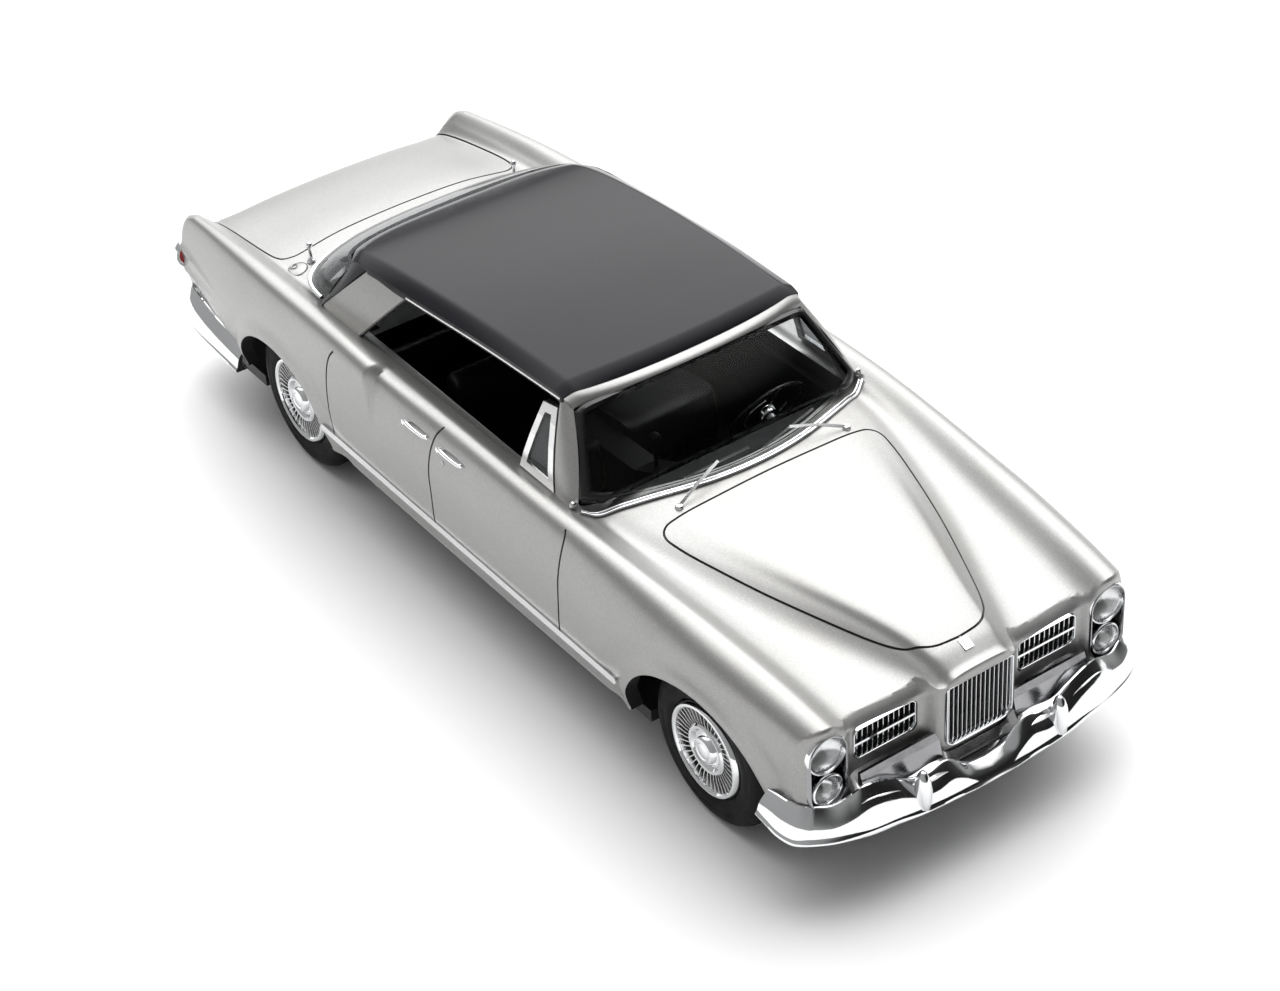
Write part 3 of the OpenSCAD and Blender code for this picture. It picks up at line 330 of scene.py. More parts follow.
# ---------------------------------------------------------------- mesh building
def loft(rings, closed=False):
    """Vertices and faces of a closed skin through equal rings of points, wound outwards."""
    r = np.array(rings, float)
    n, m = r.shape[:2]
    volume = 0.0
    centre = r.reshape(-1, 3).mean(0)
    q = r - centre
    nxt = np.roll(q, -1, axis=1)
    for k in range(n if closed else n - 1):
        a, b, c, d = q[k], nxt[k], nxt[(k + 1) % n], q[(k + 1) % n]
        volume += np.einsum("ij,ij->", a, np.cross(b, c)) + np.einsum("ij,ij->", a, np.cross(c, d))
    if not closed:
        for k, sign in ((0, -1), (n - 1, 1)):
            c = q[k].mean(0)
            volume += sign * np.einsum("ij,ij->", np.broadcast_to(c, q[k].shape), np.cross(q[k], nxt[k]))
    if volume < 0:
        r = r[:, ::-1]
    index = np.arange(n * m).reshape(n, m)
    last = n if closed else n - 1
    faces = [(index[k, j], index[k, (j + 1) % m], index[(k + 1) % n, (j + 1) % m], index[(k + 1) % n, j])
             for k in range(last) for j in range(m)]
    if not closed:
        faces += [tuple(index[0, ::-1]), tuple(index[-1])]
    return r.reshape(-1, 3), [tuple(int(i) for i in f) for f in faces]


def joined(parts):
    verts, faces, base = [], [], 0
    for v, f in parts:
        verts.append(np.asarray(v, float))
        faces += [tuple(i + base for i in face) for face in f]
        base += len(v)
    return np.vstack(verts), faces


def sheet(outer, inner):
    """Closed sheet between two equal grids of points."""
    return loft([np.vstack([a, b[::-1]]) for a, b in zip(np.asarray(outer), np.asarray(inner))])


def sweep(path, profile, up, closed=False):
    """A section, given as (side, up) pairs, carried along a path. up is the section's upward direction."""
    p = np.array(path, float)
    t = np.roll(p, -1, 0) - np.roll(p, 1, 0) if closed else np.gradient(p, axis=0)
    t /= np.linalg.norm(t, axis=1, keepdims=True)
    n = np.broadcast_to(np.array(up, float), p.shape)
    side = np.cross(t, n)
    side /= np.linalg.norm(side, axis=1, keepdims=True)
    n = np.cross(side, t)
    q = np.array(profile, float)
    q = q if q.ndim == 3 else np.broadcast_to(q, (len(p),) + q.shape)
    return loft(p[:, None] + q[..., :1] * side[:, None] + q[..., 1:] * n[:, None], closed=closed)


def circle(r, n=16, squash=1.0):
    a = np.arange(n) * 2 * np.pi / n
    return np.stack([r * np.cos(a), r * squash * np.sin(a)], 1)


def rod(a, b, r0, r1=None, n=14):
    a, b = np.array(a, float), np.array(b, float)
    r1 = r0 if r1 is None else r1
    up = (0, 0, 1) if abs((b - a)[2]) < 0.9 * np.linalg.norm(b - a) else (1, 0, 0)
    t = np.array([0, 0.04, 0.96, 1])
    radius = np.interp(t, [0, 1], [r0, r1]) * np.array([0.8, 1, 1, 0.8])
    return sweep(a + (b - a) * t[:, None], np.array([circle(r, n) for r in radius]), up)


def lathe(profile, n=64):
    """A profile of (radius, height) points turned about Z. Points on the axis become flat caps."""
    a = np.arange(n) * 2 * np.pi / n
    ring = np.stack([np.cos(a), np.sin(a), np.zeros(n)], 1)
    p = np.array(profile, float)
    shut = np.allclose(p[0], p[-1])
    p = p[:-1] if shut else p
    return loft([ring * max(r, 0.004) + np.array([0, 0, h]) for r, h in p], closed=bool(shut))


def placed(part, matrix):
    v, f = part
    m = np.array(matrix)
    flip = np.linalg.det(m[:3, :3]) < 0
    return v @ m[:3, :3].T + m[:3, 3], [face[::-1] for face in f] if flip else f


def facing(direction, at, roll=(0, 0, 1)):
    """Matrix that puts +Z along a direction and the origin at a point."""
    z = Vector(direction).normalized()
    x = Vector(roll).cross(z).normalized()
    y = z.cross(x)
    return Matrix(((x.x, y.x, z.x, at[0]), (x.y, y.y, z.y, at[1]), (x.z, y.z, z.z, at[2]), (0, 0, 0, 1)))


def mirrored(part):
    return placed(part, Matrix.Scale(-1, 4, (0, 1, 0)))


def both(part):
    return joined([part, mirrored(part)])


def prism(outline, low, high, axis):
    """An outline carried along an axis: X takes (y, z) points, Y takes (x, z) and Z takes (x, y)."""
    put = {"X": lambda q, h: (h, q[0], q[1]), "Y": lambda q, h: (q[0], h, q[1]),
           "Z": lambda q, h: (q[0], q[1], h)}[axis]
    return loft([[put(q, h) for q in outline] for h in (low, high)])


def rounded_box(half_w, half_h, r, n=8, low_r=None):
    """Outline of a box with round corners, about its middle. low_r is the radius of the lower two."""
    out = []
    low_r = r if low_r is None else low_r
    for (sx, sy), start, rad in (((1, 1), 0, r), ((-1, 1), 90, r), ((-1, -1), 180, low_r), ((1, -1), 270, low_r)):
        for k in range(n + 1):
            a = math.radians(start + 90 * k / n)
            out.append((sx * (half_w - rad) + rad * math.cos(a), sy * (half_h - rad) + rad * math.sin(a)))
    return np.array(out)


def mesh_of(name, part, materials):
    me = bpy.data.meshes.new(name)
    me.from_pydata((np.asarray(part[0]) * MM).tolist(), [], part[1])
    for m in materials:
        me.materials.append(m)
    me.update()
    return bpy.data.objects.new(name, me)


def shade(obj, angle):
    obj.data.shade_smooth()
    obj.data.set_sharp_from_angle(angle=math.radians(angle))


def add(name, part, material, body="root", replaces=(), angle=35, bevel=0.0):
    """Makes a piece from vertices and faces, rides it on a body and hides the CAD parts it stands for."""
    materials = material if isinstance(material, (list, tuple)) else [material]
    obj = mesh_of(name, part, materials)
    bpy.context.scene.collection.objects.link(obj)
    if bevel:
        bm = bmesh.new()
        bm.from_mesh(obj.data)
        edges = [e for e in bm.edges if e.is_manifold and e.calc_face_angle() > math.radians(40)]
        bmesh.ops.bevel(bm, geom=edges, offset=bevel * MM, segments=2, affect="EDGES", clamp_overlap=True)
        bm.to_mesh(obj.data)
        bm.free()
    shade(obj, angle)
    return settle(obj, body, replaces)


def settle(obj, body="root", replaces=()):
    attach(obj, body)
    if replaces:
        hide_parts(*replaces)
    return obj


def boolean(obj, part, material):
    """Cuts a solid out of obj and gives the new faces that solid's material."""
    other = mesh_of("cutter", part, [material])
    bpy.context.scene.collection.objects.link(other)
    m = obj.modifiers.new("b", "BOOLEAN")
    m.operation, m.object, m.solver, m.material_mode = "DIFFERENCE", other, "MANIFOLD", "TRANSFER"
    bpy.context.view_layer.update()
    made = bpy.data.meshes.new_from_object(obj.evaluated_get(bpy.context.evaluated_depsgraph_get()))
    obj.modifiers.clear()
    old, obj.data = obj.data, made
    bpy.data.meshes.remove(old)
    bpy.data.objects.remove(other)


# ---------------------------------------------------------------- body
def block(inset, drop, x0, x1, steps, cuts):
    """The lower body as one solid between two stations."""
    s = np.linspace(0, 10, 10 * cuts + 1)
    rings = []
    for x in np.linspace(x0, x1, steps + 1):
        h = skin(np.full_like(s, x), s, inset)
        low = keyed(LINES[-1], x, 2) - drop
        right = h[:0:-1] * np.array([1, -1, 1])
        rings.append(np.vstack([[(x, -h[-1, 1], low)], right, h, [(x, h[-1, 1], low)]]))
    return loft(rings)


def groove(x, s):
    """Solid that engraves a line in the left skin."""
    p, n = skin(x, s), skin_normal(x, s)
    t = np.gradient(p, axis=0)
    side = np.cross(n, t)
    side *= 0.5 * GROOVE_W / np.linalg.norm(side, axis=1, keepdims=True)
    floor = p - GROOVE_DEPTH * n
    return loft(np.stack([p + side + 0.4 * n, p - side + 0.4 * n, floor - side * 0.6, floor + side * 0.6], 1))


def flank_groove(points):
    q = chain(points, 10)
    return groove(q[:, 0], line_at(q[:, 0], q[:, 1], 2, 5.05, 10))


def top_groove(points):
    q = chain(points, 10)
    return groove(q[:, 0], line_at(q[:, 0], q[:, 1], 1, 0, 5.2))


DOOR_REAR = [(-18.6, 22.4), (-19.4, 21.4), (-20.2, 19.6), (-20.8, 17.4), (-21.2, 14.5), (-21.4, 10.6)]
DOOR_SPLIT = [(0.3, 22.5), (-0.3, 21.4), (-0.8, 19.4), (-1, 16.6), (-1, 14), (-1.2, 10.6)]
DOOR_FRONT = [(21.5, 22.4), (21.9, 21.6), (21.8, 19), (21.5, 15), (21, 10.6)]
BONNET = [(27, -0.2), (27, 6), (26.9, 10.5), (27, 12.1), (27.9, 12.9), (29.6, 12.8), (33, 12), (40, 9.9), (47, 7.3),
          (51.4, 5.4), (53.4, 3.9), (54.4, 2.4), (54.7, -0.2)]
BOOT = [(-39.3, -0.2), (-39.2, 7), (-39, 12.6), (-39.2, 14.2), (-40.2, 15.2), (-43, 15.5), (-50, 15.3), (-59, 14.9)]
GRILLE = (3.95, 11.0, 18.1)  # half width, low z, high z
SIDE_GRILLE = (5.9, 13.1, 13.5, 17.0)  # inner y, outer y, low z, high z


def end_face(front):
    """Solid beyond one end of the body. Its inner face is the shape of that end, with rounded edges."""
    y = np.linspace(-21.6, 21.6, 217)
    z = np.linspace(4, 24, 101)
    yy, zz = np.meshgrid(y, z)
    s = np.linspace(0, 10, 81)
    h = skin(np.full_like(s, 56.0 if front else -57.0), s)[:, 1:]
    ring = np.vstack([h[:0:-1] * np.array([-1, 1]), h])
    ring = np.vstack([ring, [(ring[-1, 0] * 0.97, 7.4), (ring[0, 0] * 0.97, 7.4), ring[0]]])
    a, b = ring[:-1], ring[1:]
    q = np.stack([yy.ravel(), zz.ravel()], 1)
    ab = b - a
    t = np.clip(((q[:, None] - a) * ab).sum(-1) / (ab**2).sum(-1), 0, 1)
    gap = np.linalg.norm(q[:, None] - (a + t[..., None] * ab), axis=-1).min(1)
    crossing = ((a[:, 1] > q[:, None, 1]) != (b[:, 1] > q[:, None, 1])) & (
        q[:, None, 0] < a[:, 0] + (q[:, None, 1] - a[:, 1]) * ab[:, 0] / np.where(ab[:, 1] == 0, 1e-9, ab[:, 1]))
    inside = (crossing.sum(1) % 2 == 1).reshape(yy.shape)
    depth = np.where(inside, 1, -1) * gap.reshape(yy.shape)
    w = np.abs(yy)
    if front:
        x = keyed([(0, 57.5), (3.6, 57.4), (4.5, 57.1), (5.3, 56.1), (6.2, 55.9), (12, 55.6), (13.5, 55.7),
                   (14.3, 56.3), (16.5, 56.45), (18.2, 56.1), (20, 55.3)], w)
        x = x + 0.35 * step(17.2, 18.4, zz) * step(5.2, 4.0, w) + 0.35 * step(18.3, 19.8, zz) * step(13.6, 15, w)
        x = x - 0.8 * step(11.2, 9.2, zz)
        r = 0.6 + 0.35 * step(14.5, 12, w)
    else:
        high = np.clip((zz - 17.4) / 3.5, 0, 0.97)
        x = 57.3 + 1.15 * hump(np.hypot(w - 17.9, zz - 14.5), 0, 2.3) - 2.6 * (1 - np.sqrt(1 - high**2))
        x = x - 0.5 * step(14.5, 12, w) * step(12, 17.5, zz)
        r = 1.0
    x = x - 0.75 * r * (1 - np.clip(depth / r, -0.4, 1)) ** 1.7
    far = np.full_like(x, 70.0)
    sign = 1 if front else -1
    outer = np.stack([sign * far, yy, zz], -1)
    inner = np.stack([sign * x, yy, zz], -1)
    return sheet(outer, inner)


def cabin_plan(g):
    s = np.linspace(-1, 1, 41)
    front = screen(0, s)[:, :2] * np.array([1, 1 - g / 17]) + np.array([-g, 0])
    rear = rear_screen(0, s[::-1])[:, :2] * np.array([1, 1 - g / 17]) + np.array([g, 0])
    return np.vstack([front, rear])


def ellipse(mid, base, half, rise, n=120):
    a = np.arange(n + 1) * np.pi / n
    arc = np.stack([mid + half * np.cos(a), base + rise * np.sin(a)], 1)
    return np.vstack([arc, [(mid - half, 0), (mid + half, 0)]])


def stadium(y, z0, z1, r, n=24):
    a = np.linspace(0, np.pi, n + 1)
    top = np.stack([y + r * np.cos(a), z1 + r * np.sin(a)], 1)
    return np.vstack([top, np.stack([y - r * np.cos(a), z0 - r * np.sin(a)], 1)])


def build_body():
    obj = mesh_of("body_paint", block(0, 0.25, -60.0, 59.5, 380, 8), [PAINT])
    bpy.context.scene.collection.objects.link(obj)
    boolean(obj, end_face(True), PAINT)
    boolean(obj, end_face(False), PAINT)
    boolean(obj, block(WALL, 12, -56.0, 54.2, 60, 3), HOLLOW)
    boolean(obj, prism(cabin_plan(0.9), 15, 40, "Z"), HOLLOW)
    for arch in ARCHES:
        boolean(obj, prism(ellipse(*arch), -25, 25, "Y"), HOLLOW)
    half, low, high = GRILLE
    boolean(obj, prism(rounded_box(half, (high - low) / 2, 0.25, low_r=1.1) + (0, (high + low) / 2), 53, 66, "X"), WASH)
    y0, y1, z0, z1 = SIDE_GRILLE
    hole = rounded_box((y1 - y0) / 2, (z1 - z0) / 2, 0.7) + ((y0 + y1) / 2, (z0 + z1) / 2)
    lamps = stadium(LAMP_Y, HIGH_LAMP_Z - LAMP_GAP, HIGH_LAMP_Z, LAMP_WELL_R)
    boolean(obj, both(joined([prism(hole, 53, 66, "X"), prism(lamps, 53, 66, "X")])), WASH)
    for line in (DOOR_REAR, DOOR_SPLIT, DOOR_FRONT):
        boolean(obj, both(flank_groove(line)), WASH)
    for line in (BONNET, BOOT):
        boolean(obj, top_groove(line), WASH)
        boolean(obj, mirrored(top_groove(line)), WASH)
    shade(obj, 38)
    return settle(obj, "root", ["body_shell"])


build_body()


# Windscreen pillars, header and quarter panels in body colour.
def pillar():
    z = np.linspace(21.3, 30.5, 30)
    u = np.clip((z - 22.5) / 7.3, -0.15, 1.06)
    front = screen(u, 0.995)
    rear = np.stack([keyed([(21.3, 16.6), (22.2, 16.35), (29.6, 13.6), (30.5, 13.3)], z), keyed(SIDE, z) + 0.05, z], 1)
    mid = (front + rear) / 2 + np.array([0.12, 0.3, 0.03])
    q1 = (front + mid) / 2 + np.array([0.1, 0.08, 0.02])
    q2 = (rear + mid) / 2 + np.array([0.02, 0.1, 0])
    return loft(np.stack([front, q1, mid, q2, rear, rear - (0, 0.8, 0), front - (0.9, 0.6, 0)], 1))


def header():
    s = np.linspace(-1, 1, 61)
    low = screen(0.99, s)
    high = roof(0.002, s * 0.99, 0.1)
    mid = (low + high) / 2 + (0.12, 0, 0.1)
    return loft(np.stack([low, (low + mid) / 2 + (0.08, 0, 0.02), mid, high, high - (1.0, 0, 0.1),
                          low - (0.9, 0, 0.5)], 1))


def side_patch(outline, out, thick, n=20):
    """Plate on the curved side of the cabin, from a ring of (x, z) corners: two edges of equal length."""
    front, rear = (chain(edge, 6) for edge in outline)
    t = np.linspace(0, 1, n)[:, None, None]
    q = front[None] * (1 - t) + rear[None] * t
    y = keyed(SIDE, q[..., 1])
    face = np.stack([q[..., 0], y + out, q[..., 1]], -1)
    return sheet(face, face - (0, thick, 0))


add("pillars", both(pillar()), PAINT, angle=60)
add("header", header(), PAINT, angle=60)
QUARTER = [[(-20.5, 21.1), (-16.6, 25.2), (-12.9, 29.1)],
           [(-27.0, 22.3), (-24, 25.2), (-20.7, 28.45)]]
add("quarter_panels", both(side_patch(QUARTER, 0.15, 0.9)), PAINT, bevel=0.12)


# ---------------------------------------------------------------- roof
def build_roof():
    s = np.linspace(-1, 1, 121)
    u = np.concatenate([np.linspace(0, 0.045, 13), np.linspace(0.045, 0.94, 80)[1:], np.linspace(0.94, 1, 9)[1:]])
    uu, ss = np.meshgrid(u, s, indexing="ij")
    shell = sheet(roof(uu, ss), roof(uu, ss, 0.8))
    add("roof_shell", shell, BLACK, replaces=["roof_cap"], angle=50)
    # A rear pillar tapers down between the edge of the rear window and the quarter panel.
    low = chain([(-17.5, 29.0), (-19.5, 28.75), (-20.9, 28.45), (-24, 25.3), (-27.0, 22.4), (-27.4, 21.8)], 8)
    low = np.stack([low[:, 0], keyed(SIDE, low[:, 1]) + 0.1, low[:, 1]], 1)
    high = chain([(-17.6, 14.9, 29.25), (-20.5, 14.9, 28.95), (-23.4, 14.75, 28.35), (-25.0, 15.3, 26.3),
                  (-27.6, 16.6, 22.4), (-27.9, 16.8, 21.8)], 8)
    t = np.linspace(0, 1, 9)[:, None, None]
    face = low * (1 - t) + high * t + np.sin(np.pi * t) * np.array([0, 0.1, 0.06])
    add("rear_pillars", both(sheet(face, face - (0, 0.8, 0.1))), BLACK, angle=50)


build_roof()


# ---------------------------------------------------------------- glass and its frames
def screen_outline(grow, n=10):
    """Ring round the windscreen as (u, s) pairs with round corners, grown by some mm."""
    gu, gs = grow / 11.4, grow / 15.2
    box = rounded_box(1, 1, 0.13, n)
    u = 0.5 + (0.455 + gu) * box[:, 1]
    s = (0.962 + gs) * box[:, 0]
    return u, s


def build_glass():
    t = np.linspace(-1, 1, 49)
    uu, ss = np.meshgrid(np.linspace(0.03, 0.97, 12), 0.965 * t, indexing="ij")
    add("windscreen_glass", sheet(screen(uu, ss), screen(uu, ss) - (0.35, 0, 0.2)), GLASS, replaces=["windscreen"])
    out = np.array([0.7, 0, 0.7])
    inner, outer, lift, drop = -0.4, 0.45, 0.5, 0.5
    section = ((inner, lift * 0.6), ((inner + outer) / 2, lift), (outer, lift * 0.6), (outer, -drop), (inner, -drop))
    rings = [screen(*screen_outline(g)) + out * h for g, h in section]
    add("windscreen_seal", loft(np.stack(rings, 1), closed=True), SEAL, replaces=["windscreen_gasket"],
        angle=50)
    s = np.linspace(-0.985, 0.985, 121)
    foot = screen(0, s)[:, :2]
    out = np.gradient(foot, axis=0)[:, ::-1] * np.array([1, -1])
    out /= np.linalg.norm(out, axis=1, keepdims=True)
    strips = []
    for away, r in ((0.32, 0.15), (0.7, 0.18)):
        q = foot + out * away
        strips.append(sweep(np.column_stack([q, top_z(q[:, 0], q[:, 1]) + 0.2]), circle(r, 12, 0.8), (0, 0, 1)))
    balls = both(placed(lathe([(0.0, -0.38), (0.25, -0.28), (0.38, 0.0), (0.25, 0.28), (0.0, 0.38)], 20),
                        Matrix.Translation(screen(0.03, 1.02) + (0.1, 0.1, 0.0))))
    add("windscreen_moulding", joined(strips + [balls]), CHROME, replaces=["windscreen_trim"],
        angle=60)
    uu, ss = np.meshgrid(np.linspace(0.0, 0.96, 12), np.linspace(-1, 1, 81), indexing="ij")
    g = rear_screen(uu, ss)
    inward = np.stack([0.35 * np.cos(np.pi / 2 * ss), -0.35 * np.sin(np.pi / 2 * ss), -0.2 + 0 * ss], -1)
    add("rear_glass", sheet(g, g + inward), SMOKE, replaces=["rear_window"])
    foot = rear_screen(-0.03, np.linspace(-0.99, 0.99, 121))
    add("rear_moulding", sweep(foot, circle(0.3, 12, 0.8), (0, 0, 1)), CHROME, replaces=["rear_window_trim"],
        angle=60)
    x = np.linspace(-12.9, 13.5, 60)
    rail = np.stack([x, keyed(ROOF_HALF, x) - 0.12, keyed(ROOF_EDGE, x) - 0.62], 1)
    add("drip_rails", both(sweep(rail, circle(0.2, 10), (0, 0, 1))), FOIL, replaces=["window_rails"],
        angle=60)


build_glass()


# ---------------------------------------------------------------- wheels
def hubcap():
    """Turbine hubcap about Z, its outer face up: a bright rim, slotted ring, stepped cone and dome."""
    disc = lathe([(0.6, -1.5), (RIM_R - 0.5, -1.5), (RIM_R, -1.6), (RIM_R, 1.75), (4.98, 2.2), (4.8, 2.42),
                  (4.55, 2.45), (4.38, 2.3), (4.3, 2.0), (4.25, 1.62), (3.05, 1.6), (2.72, 1.66), (2.66, 2.02),
                  (2.5, 2.2), (2.2, 2.18), (2.02, 1.95), (1.9, 1.78), (1.72, 1.76), (1.6, 1.95), (1.5, 2.25),
                  (1.3, 2.45), (0.95, 2.52), (0.8, 2.46), (0.72, 2.5), (0.4, 2.58), (0.0, 2.6)], 96)
    vanes = []
    for k in range(VANES):
        a = 2 * math.pi * k / VANES
        ring = [((r, -w, 1.5), (r, -w * 0.55, h), (r, w * 0.55, h), (r, w, 1.5))
                for r, w, h in ((2.66, 0.07, 1.98), (3.2, 0.09, 2.08), (3.9, 0.115, 2.12), (4.36, 0.13, 2.2))]
        vanes.append(placed(loft(ring), Matrix.Rotation(a, 4, "Z")))
    return disc, joined(vanes), lathe([(2.9, 1.61), (4.28, 1.61), (4.28, 1.66), (2.9, 1.66), (2.9, 1.61)], 96)


def tyre():
    """Tyre about Z with a rounded shoulder, a sidewall ridge and two tread grooves."""
    w = TYRE_W / 2
    side = [(RIM_R, w - 0.9), (RIM_R + 0.05, w - 0.25), (5.4, w - 0.1), (5.9, w - 0.02), (6.35, w), (6.5, w - 0.04),
            (6.6, w), (6.9, w - 0.01), (7.3, w - 0.08), (7.65, w - 0.25), (7.92, w - 0.5), (8.12, w - 0.85),
            (TYRE_R, w - 1.25), (TYRE_R, 0.75), (TYRE_R - 0.16, 0.7), (TYRE_R - 0.16, 0.5), (TYRE_R, 0.45)]
    return lathe(side + [(r, -h) for r, h in side[::-1]] + [side[0]], 96)


for axle in ("front", "rear"):
    for side, sign in (("right", -1), ("left", 1)):
        at = facing((0, sign, 0), (AXLE_X[axle], sign * TRACK_HALF, AXLE_Z))
        disc, vanes, well = hubcap()
        body, tag = f"{axle}_axle", f"{axle}_{side}"
        add(f"hubcap_{tag}", placed(disc, at), CHROME, body, [f"wheel_{tag}"], angle=32)
        add(f"hubcap_vanes_{tag}", placed(vanes, at), FOIL, body)
        add(f"hubcap_well_{tag}", placed(well, at), HOLLOW, body)
        add(f"tyre_{tag}_rubber", placed(tyre(), at), RUBBER, body, [f"tyre_{tag}"], angle=40)


# ---------------------------------------------------------------- grilles and lamps
def bars(y0, y1, z0, z1, x, count, width, deep):
    """Upright bars with rounded faces across an opening."""
    parts = []
    for k in range(count):
        y = y0 + (y1 - y0) * (k + 1) / (count + 1)
        ring = [(x - deep, y - width / 2), (x - 0.08, y - width / 2), (x, y - width / 4), (x, y + width / 4),
                (x - 0.08, y + width / 2), (x - deep, y + width / 2)]
        parts.append(loft([[(a, b, z) for a, b in ring] for z in (z0, z1)]))
    return joined(parts)


def frame_ring(outline, x, rim, deep):
    """Thin rounded frame that follows an outline in the Y-Z plane."""
    path = np.array([(x, y, z) for y, z in outline])
    section = [(-rim / 2, -deep), (-rim / 2, 0), (-rim / 4, 0.09), (rim / 4, 0.09), (rim / 2, 0), (rim / 2, -deep)]
    return sweep(path, section, (1, 0, 0), closed=True)


def build_grilles():
    half, low, high = GRILLE
    x = 57.55
    outline = rounded_box(half - 0.12, (high - low) / 2 - 0.1, 0.3, 8, 1.05) + (0, (low + high) / 2)
    upright = bars(-half, half, low + 0.25, high - 0.2, x - 0.2, CENTRE_BARS, 0.1, 0.2)
    core = joined([frame_ring(outline, x, 0.2, 0.9), upright])
    add("centre_grille_bright", core, CHROME, replaces=["centre_grille"], angle=40)
    wires = []
    for k in range(30):
        z = low + 0.4 + (high - low - 0.7) * k / 29
        wires.append(rod((x - 0.75, -half + 0.1, z), (x - 0.75, half - 0.1, z), 0.05, n=6))
    add("centre_grille_wires", joined(wires), DARK_CHROME)
    y0, y1, z0, z1 = SIDE_GRILLE
    outline = rounded_box((y1 - y0) / 2 - 0.1, (z1 - z0) / 2 - 0.1, 0.65) + ((y0 + y1) / 2, (z0 + z1) / 2)
    x = 55.72
    mid, half_rib = (z0 + z1) / 2, 0.13
    rib = prism([(y0 + 0.15, mid - half_rib), (y1 - 0.15, mid - half_rib), (y1 - 0.15, mid + half_rib),
                 (y0 + 0.15, mid + half_rib)], x - 0.6, x + 0.05, "X")
    slats = bars(y0, y1, z0 + 0.2, z1 - 0.2, x - 0.2, SIDE_SLATS, 0.12, 0.4)
    side = joined([frame_ring(outline, x, 0.16, 0.5), slats, rib])
    add("side_grille_left_bright", side, CHROME, replaces=["side_grille_left"], angle=40)
    add("side_grille_right_bright", mirrored(side), CHROME, replaces=["side_grille_right"],
        angle=40)
    back = [prism([(-4.3, 10.9), (4.3, 10.9), (4.3, 18.2), (-4.3, 18.2)], 54.2, 54.8, "X"),
            both(prism([(5.6, 13.2), (13.3, 13.2), (13.3, 17.1), (5.6, 17.1)], 53.9, 54.4, "X"))]
    add("grille_backing", joined(back), HOLLOW, replaces=["grille_mesh"])


build_grilles()


def build_lamps(side, sign):
    """A pair of lamps in a dark chrome well: reflector, fluted lens and bright ring each."""
    well = prism(stadium(LAMP_Y, HIGH_LAMP_Z - LAMP_GAP, HIGH_LAMP_Z, LAMP_WELL_R - 0.02), 53.6, 54.3, "X")
    lip = frame_ring(stadium(LAMP_Y, HIGH_LAMP_Z - LAMP_GAP, HIGH_LAMP_Z, LAMP_WELL_R + 0.02), 56.45, 0.2, 2.2)
    flip = (lambda p: p) if sign > 0 else mirrored
    add(f"lamp_well_{side}", flip(joined([well, lip])), DARK_CHROME, replaces=[f"lamp_housing_{side}"])
    rings = []
    for name, z, r, node in (("high", HIGH_LAMP_Z + 0.1, 1.92, "headlamp"),
                             ("low", HIGH_LAMP_Z - LAMP_GAP, 1.42, "fog_lamp")):
        at = facing((1, 0, 0.04), (LAMP_X, LAMP_Y, z))
        bowl = lathe([(r + 0.02, 0.9), (r * 0.9, 0.4), (r * 0.66, -0.05), (r * 0.36, -0.38), (0.12, -0.5), (0.1, -0.62),
                      (r * 0.4, -0.55), (r * 0.75, -0.2), (r + 0.1, 0.4), (r + 0.12, 0.9), (r + 0.02, 0.9)], 48)
        bulb = lathe([(0.0, -0.6), (0.22, -0.55), (0.26, -0.1), (0.2, 0.12), (0.0, 0.2)], 20)
        add(f"{name}_lamp_reflector_{side}", flip(placed(joined([bowl, bulb]), at)), FOIL)
        n = 72
        a = np.arange(n) * 2 * np.pi / n
        flute = 1 + 0.012 * np.sin(a * 24)
        shape = [(r, 0.85), (r, 1.0), (r * 0.92, 1.2), (r * 0.74, 1.42), (r * 0.5, 1.58), (r * 0.25, 1.66),
                 (0.02, 1.68)]
        inner = [(0.02, 1.5), (r * 0.5, 1.42), (r * 0.85, 1.1), (r * 0.94, 0.85)]
        glass = loft([np.stack([q * flute * np.cos(a), q * flute * np.sin(a), np.full(n, h)], 1)
                      for q, h in shape + inner], closed=True)
        add(f"{name}_lamp_lens_{side}", flip(placed(glass, at)), LENS, replaces=[f"{node}_{side}"],
            angle=60)
        ring = lathe([(r + 0.01, 0.5), (r + 0.02, 1.12), (r + 0.1, 1.24), (r + 0.22, 1.2), (r + 0.28, 1.05),
                      (r + 0.28, 0.5), (r + 0.01, 0.5)], 56)
        rings.append(flip(placed(ring, at)))
    return joined(rings)


add("lamp_rings_bright", joined([build_lamps("right", -1), build_lamps("left", 1)]), CHROME, replaces=["lamp_rings"],
    angle=50)


def build_tail_lamps():
    for side, sign in (("right", -1), ("left", 1)):
        at = facing((-1, 0, 0), (-57.4, sign * 17.9, 14.5))
        lens = lathe([(0.0, 0.0), (1.3, 0.0), (1.32, 0.75), (1.15, 1.1), (0.8, 1.32), (0.4, 1.42), (0.0, 1.45)], 40)
        add(f"tail_lens_{side}", placed(lens, at), RED_LENS, replaces=[f"tail_lamp_{side}"], angle=50)
        ring = lathe([(1.33, 0.0), (1.33, 0.95), (1.45, 1.08), (1.62, 0.98), (1.68, 0.7), (1.68, 0.0), (1.33, 0.0)], 48)
        add(f"tail_ring_{side}", placed(ring, at), CHROME, angle=50)


build_tail_lamps()

